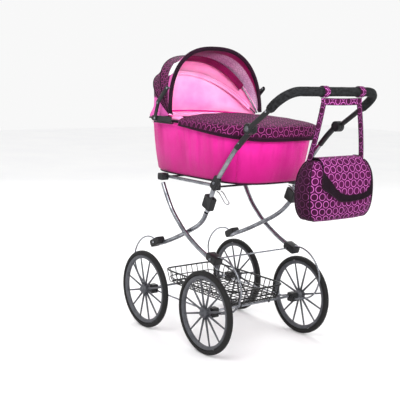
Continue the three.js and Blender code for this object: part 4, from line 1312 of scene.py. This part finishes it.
STAY_BASE, STAY_ELBOW, STAY_TOP = (-130, 733), (-111, 785), (-57, 835)
LINK_WIDE, LINK_THICK = 16, 2.6
for side, sign in SIDES:
    plate = moulded_block(f"hood_side_plate_{side}", (112, 4, 18), (-94, sign * 202, 733), 0, BLACK, 1.8,
                          0.6)
    done(plate, "chassis", "black_plastic", f"hood_plate_{side}")
    holder = moulded_block(f"hood_plate_foot_{side}", (100, 12, 5), (-95, sign * 194.5, 720), 0, BLACK,
                           1.2, 0.3)
    done(holder, "chassis", "black_plastic")
    lower = link(f"stay_link_lower_{side}", STAY_BASE, STAY_ELBOW, sign * 206, LINK_WIDE, LINK_THICK,
                 BLACK)
    done(lower, f"lower_stay_{side}", "black_plastic", f"stay_lower_{side}")
    upper = link(f"stay_link_upper_{side}", STAY_ELBOW, STAY_TOP, sign * 209, LINK_WIDE, LINK_THICK,
                 BLACK)
    done(upper, f"upper_stay_{side}", "black_plastic", f"stay_upper_{side}")
    pin = tubes(f"stay_pin_{side}", [[(STAY_TOP[0], sign * 199, STAY_TOP[1]),
                                      (STAY_TOP[0], sign * 210, STAY_TOP[1])]], 3.0, CHROME)
    done(pin, f"upper_stay_{side}", "chrome")
    heads = rivets(f"stay_rivets_{side}", [((x, sign * 210.2, z), (0, sign, 0)) for x, z in (
        STAY_ELBOW, STAY_TOP)], 4.2)
    done(heads, f"upper_stay_{side}", "chrome")
    foot_at = (STAY_BASE[0], sign * 207.2, STAY_BASE[1])
    foot = rivets(f"stay_foot_rivet_{side}", [(foot_at, (0, sign, 0))], 4.2)
    done(foot, f"lower_stay_{side}", "chrome")

# %% [markdown]
# ## Bag
# A shoulder bag hangs from the grip by two cloth rings. Its body is a soft loft that sags and bulges
# low down, open at the top, with a dark lining. The front and back are joined by a darker gusset and
# piped where they meet. The flap is one sheet with a wide dark border that falls over the front.

# %% Bag body
BAG_X, BAG_Y, BAG_BOTTOM, BAG_MOUTH = 482, 28, 468, 645
# height, then half the bag's depth and half its width
BAG_LEVELS = np.array([[BAG_BOTTOM, 28, 104], [472, 36, 117], [482, 43, 129], [508, 48, 138],
                       [540, 49, 141.5], [575, 47.5, 141], [600, 43, 138], [620, 36, 131],
                       [634, 28, 122], [BAG_MOUTH, 17, 109]], float)


def bag_outline(height, grow=0.0, count=128):
    depth, width = (np.interp(height, BAG_LEVELS[:, 0], BAG_LEVELS[:, i]) + grow for i in (1, 2))
    turn = np.linspace(0, 2 * np.pi, 1440, endpoint=False)
    line = np.stack([BAG_X + depth * power_of(np.cos(turn), 2.6),
                     BAG_Y + width * power_of(np.sin(turn), 4), np.full_like(turn, height)], axis=1)
    return evenly(line, count)


bag_rows = [bag_outline(BAG_BOTTOM) * (k, k, 1) + (BAG_X * (1 - k), BAG_Y * (1 - k), 0)
            for k in (0.3, 0.6, 0.9)]
for z in np.concatenate([[BAG_BOTTOM, 470, 473], np.linspace(478, BAG_MOUTH, 34)]):
    ring = bag_outline(z)
    share = (z - BAG_BOTTOM) / (BAG_MOUTH - BAG_BOTTOM)
    push = np.array([soft_noise(p, 0.021, 2.0) + soft_noise(p, 0.06, 0.7) for p in ring])
    facing = outward_of(ring)
    side_fold = (-2.2 * math.exp(-((share - 0.62) / 0.09) ** 2)
                 - 1.4 * math.exp(-((share - 0.3) / 0.07) ** 2))
    push += side_fold * ease(np.abs(facing[:, 1]), 0.55, 0.95)
    bag_rows.append(ring + facing * (push * min(1, share * 8, (1.02 - share) * 6))[:, None])
bag_grid = np.array(bag_rows)
reach = np.abs(bag_grid[..., 1] - BAG_Y) / np.interp(bag_grid[..., 2], BAG_LEVELS[:, 0],
                                                     BAG_LEVELS[:, 2])
GUSSET = 0.925  # how far out to the side, as a share of half the width, the gusset begins
bag = cloth_grid("bag_shell", bag_grid, [BAG_PRINT, BINDING], closed=True,
                 tip=(BAG_X, BAG_Y, BAG_BOTTOM),
                 values={"plain": 0.86 * ease(reach, GUSSET, 0.95), "border": np.zeros(reach.shape)})
face_away(bag, (BAG_X, BAG_Y, 556))
done(thicken(bag, 2.2, inner=1), "bag", "patterned_fabric", "bag_body")


# %% Bag piping and stitches
def bag_edge(front, grow=1.0):
    """The line where the gusset meets the front (1) or back (-1)."""
    side = []
    for z in (641, 634, 618, 600, 575, 540, 508, 488, 478, 472):
        depth, width = (np.interp(z, BAG_LEVELS[:, 0], BAG_LEVELS[:, i]) + grow for i in (1, 2))
        side.append((front * 0.6 * depth, 0.927 * width, z))
    floor_line = [(front * 15, y, 468.4) for y in (86, 60, 20)]
    half = side + floor_line
    path = [(BAG_X + x, BAG_Y - y, z) for x, y, z in half] + [
        (BAG_X + x, BAG_Y + y, z) for x, y, z in reversed(half)]
    return smooth_path(path, 5)


bag_piping = tubes("bag_piping", [bag_edge(1), bag_edge(-1)], 2.1, PIPING, 10.0)
done(bag_piping, "bag", "binding")
mouth_piping = tubes("bag_mouth_piping", [(bag_outline(BAG_MOUTH, 0.2, 120), True)], 1.8, PIPING,
                     10.0)
done(mouth_piping, "bag", "binding")

# %% Bag flap
FLAP_PROFILE = smooth_path([(453, 0, 642), (462, 0, 649.5), (484, 0, 652.5), (503, 0, 649),
                            (516, 0, 636), (526, 0, 615), (533.5, 0, 585), (535.5, 0, 555),
                            (533.5, 0, 514)], 8)
FLAP_LINE = evenly(FLAP_PROFILE, 400, closed=False)
FLAP_STEPS = np.concatenate([[0], np.cumsum(np.linalg.norm(np.diff(FLAP_LINE, axis=0), axis=1))])
FLAP_LONG = FLAP_STEPS[-1]
FLAP_TOP = 54.0  # from the hinge over the top, before the flap turns down
FLAP_WIDE, FLAP_Y = 88.0, BAG_Y - 1.5


def flap_drop(y):
    """How far below its top the flap's own edge hangs, from left to right."""
    return np.interp(y, [-82, -58, -25, -2, 37, 92, 122, 134],
                     [82, 96, 117, 131, 134, 130, 120, 104])


def border_line(y):
    """How far below its top the dark border begins."""
    return np.interp(y, [-89, -56, -25, -2, 27, 84, 112, 122, 128],
                     [10, 52, 88, 104, 113, 112, 104, 90, 60])


across = np.linspace(-1, 1, 70)
down = np.linspace(0, 1, 72)
bottom = FLAP_TOP + flap_drop(FLAP_Y + across * (FLAP_WIDE + 14))
softened = np.convolve(np.pad(bottom, 3, mode="edge"), np.ones(7) / 7, mode="valid")
bottom = np.minimum(softened, FLAP_LONG)
flat_s = down[:, None] * bottom[None, :]
wide = np.interp(flat_s, [0, 80, 115, 145, 190], [0, 0, 13, 19, 16])
flat_y = FLAP_Y + across[None, :] * (FLAP_WIDE + wide)
flap_grid = np.stack([np.interp(flat_s, FLAP_STEPS, FLAP_LINE[:, 0]), flat_y,
                      np.interp(flat_s, FLAP_STEPS, FLAP_LINE[:, 2])], axis=2)
belly = np.array([[soft_noise(p, 0.02, 3.4) + soft_noise(p, 0.055, 0.9) for p in row]
                  for row in flap_grid])
flap_grid[..., 0] += np.abs(belly) * ease(flat_s, 50, 100) * 0.9
flap = cloth_grid("bag_flap_cloth", flap_grid, [BAG_PRINT, BINDING],
                  values={"border": ease(flat_s - FLAP_TOP - border_line(flat_y), -1.6, 1.6),
                          "plain": np.zeros(flat_s.shape)},
                  uv=np.stack([flat_y, flat_s], axis=2) / 1000)
face_away(flap, (470, BAG_Y, 560))
flap = thicken(flap, 2.0, inner=1)
done(flap, "flap", "patterned_fabric", "bag_flap")


# %% Flap piping
down_left = [(i, 0) for i in range(6, 71, 3)]
along_bottom = [(71, j) for j in range(2, 68, 3)]
up_right = [(i, 69) for i in range(71, 5, -3)]
flap_rim = [flap_grid[spot] - (0.8, 0, 0) for spot in down_left + along_bottom + up_right]
flap_piping = tubes("bag_flap_piping", [smooth_path(flap_rim, 3)], 1.6, PIPING, 10.0)
done(flap_piping, "flap", "binding")

# %% [markdown]
# The strap is one printed band. Its two rings turn on the foam, a strip joins them under the bar, and
# two ends run down to the corners of the bag, each with a stitched square where it is sewn on.

# %% Rings, strap and sewing
STRAP_ENDS = ((-45, -84), (104, 136))  # where each strap hangs on the bar, and where on the bag
RING_SECTION = ((-10, 15.6), (-9.4, 16.2), (-6, 16.4), (0, 16.2), (6, 16.4), (9.4, 16.2), (10, 15.6))


def ribbon(name, path, way, half_width, look, dark=0.0, columns=7):
    """A band of cloth whose middle follows the path and whose width lies along way."""
    way = np.asarray(way, float)
    rows = [[p + way * half_width * side + 0.5 * np.array([1 - side * side, 0, 0])
             for side in np.linspace(-1, 1, columns)] for p in smooth_path(path, 6)]
    grid = np.array(rows)
    edge = np.broadcast_to(np.abs(np.linspace(-1, 1, columns)) > 0.9, grid.shape[:2])
    return cloth_grid(name, grid, [look],
                      values={"border": 0.7 * edge, "plain": np.full(edge.shape, dark)})


for (side, _), (ring_y, _) in zip(SIDES, STRAP_ENDS):
    turn = np.linspace(0, 2 * np.pi, 40, endpoint=False)
    rows = [[(GRIP_X + r * math.cos(a), ring_y + y, GRIP_Z - r * math.sin(a)) for a in turn]
            for y, r in RING_SECTION]
    none = np.zeros((len(rows), len(turn)))
    ring = cloth_grid(f"bag_strap_ring_{side}", rows, [BAG_PRINT], closed=True,
                      values={"plain": none, "border": none})
    face_away(ring, (GRIP_X, ring_y, GRIP_Z))
    done(thicken(ring, 1.2, offset=0), "bag_rings", "patterned_fabric", f"bag_ring_{side}")

strip_line = [(GRIP_X, y, 814.2 - 1.6 * math.sin(math.pi * (y + 55) / 169))
              for y in (-55, -30, 0, 30, 60, 90, 114)]
strip = ribbon("bag_strap_strip", strip_line, (0, 0, 1), 10.2, BAG_PRINT)
done(thicken(strip, 2.0, offset=0), "bag", "patterned_fabric", "bag_strap")
for (side, _), (ring_y, bag_y) in zip(SIDES, STRAP_ENDS):
    top, end = np.array([GRIP_X, ring_y, 809]), np.array([BAG_X, bag_y, 641])
    lean = (end - top) / np.linalg.norm(end - top)
    way = np.cross(lean, (1, 0, 0))
    path = [top + (end - top) * k + np.array([3.0, 0, 0]) * math.sin(math.pi * k)
            for k in (0, 0.2, 0.4, 0.6, 0.8, 1)]
    band = ribbon(f"bag_strap_end_{side}", path, way / np.linalg.norm(way), 10, BAG_PRINT, 0.45)
    done(thicken(band, 2.0, offset=0), "bag", "patterned_fabric")
    square = [(BAG_X + 1.9, bag_y + y, z) for y, z in ((-7, 662), (7, 662), (7, 648), (-7, 648),
                                                       (-7, 662))]
    sewing = stitches(f"bag_strap_sewing_{side}", [square], THREAD_PINK, 3.4)
    done(sewing, "bag", "patterned_fabric")
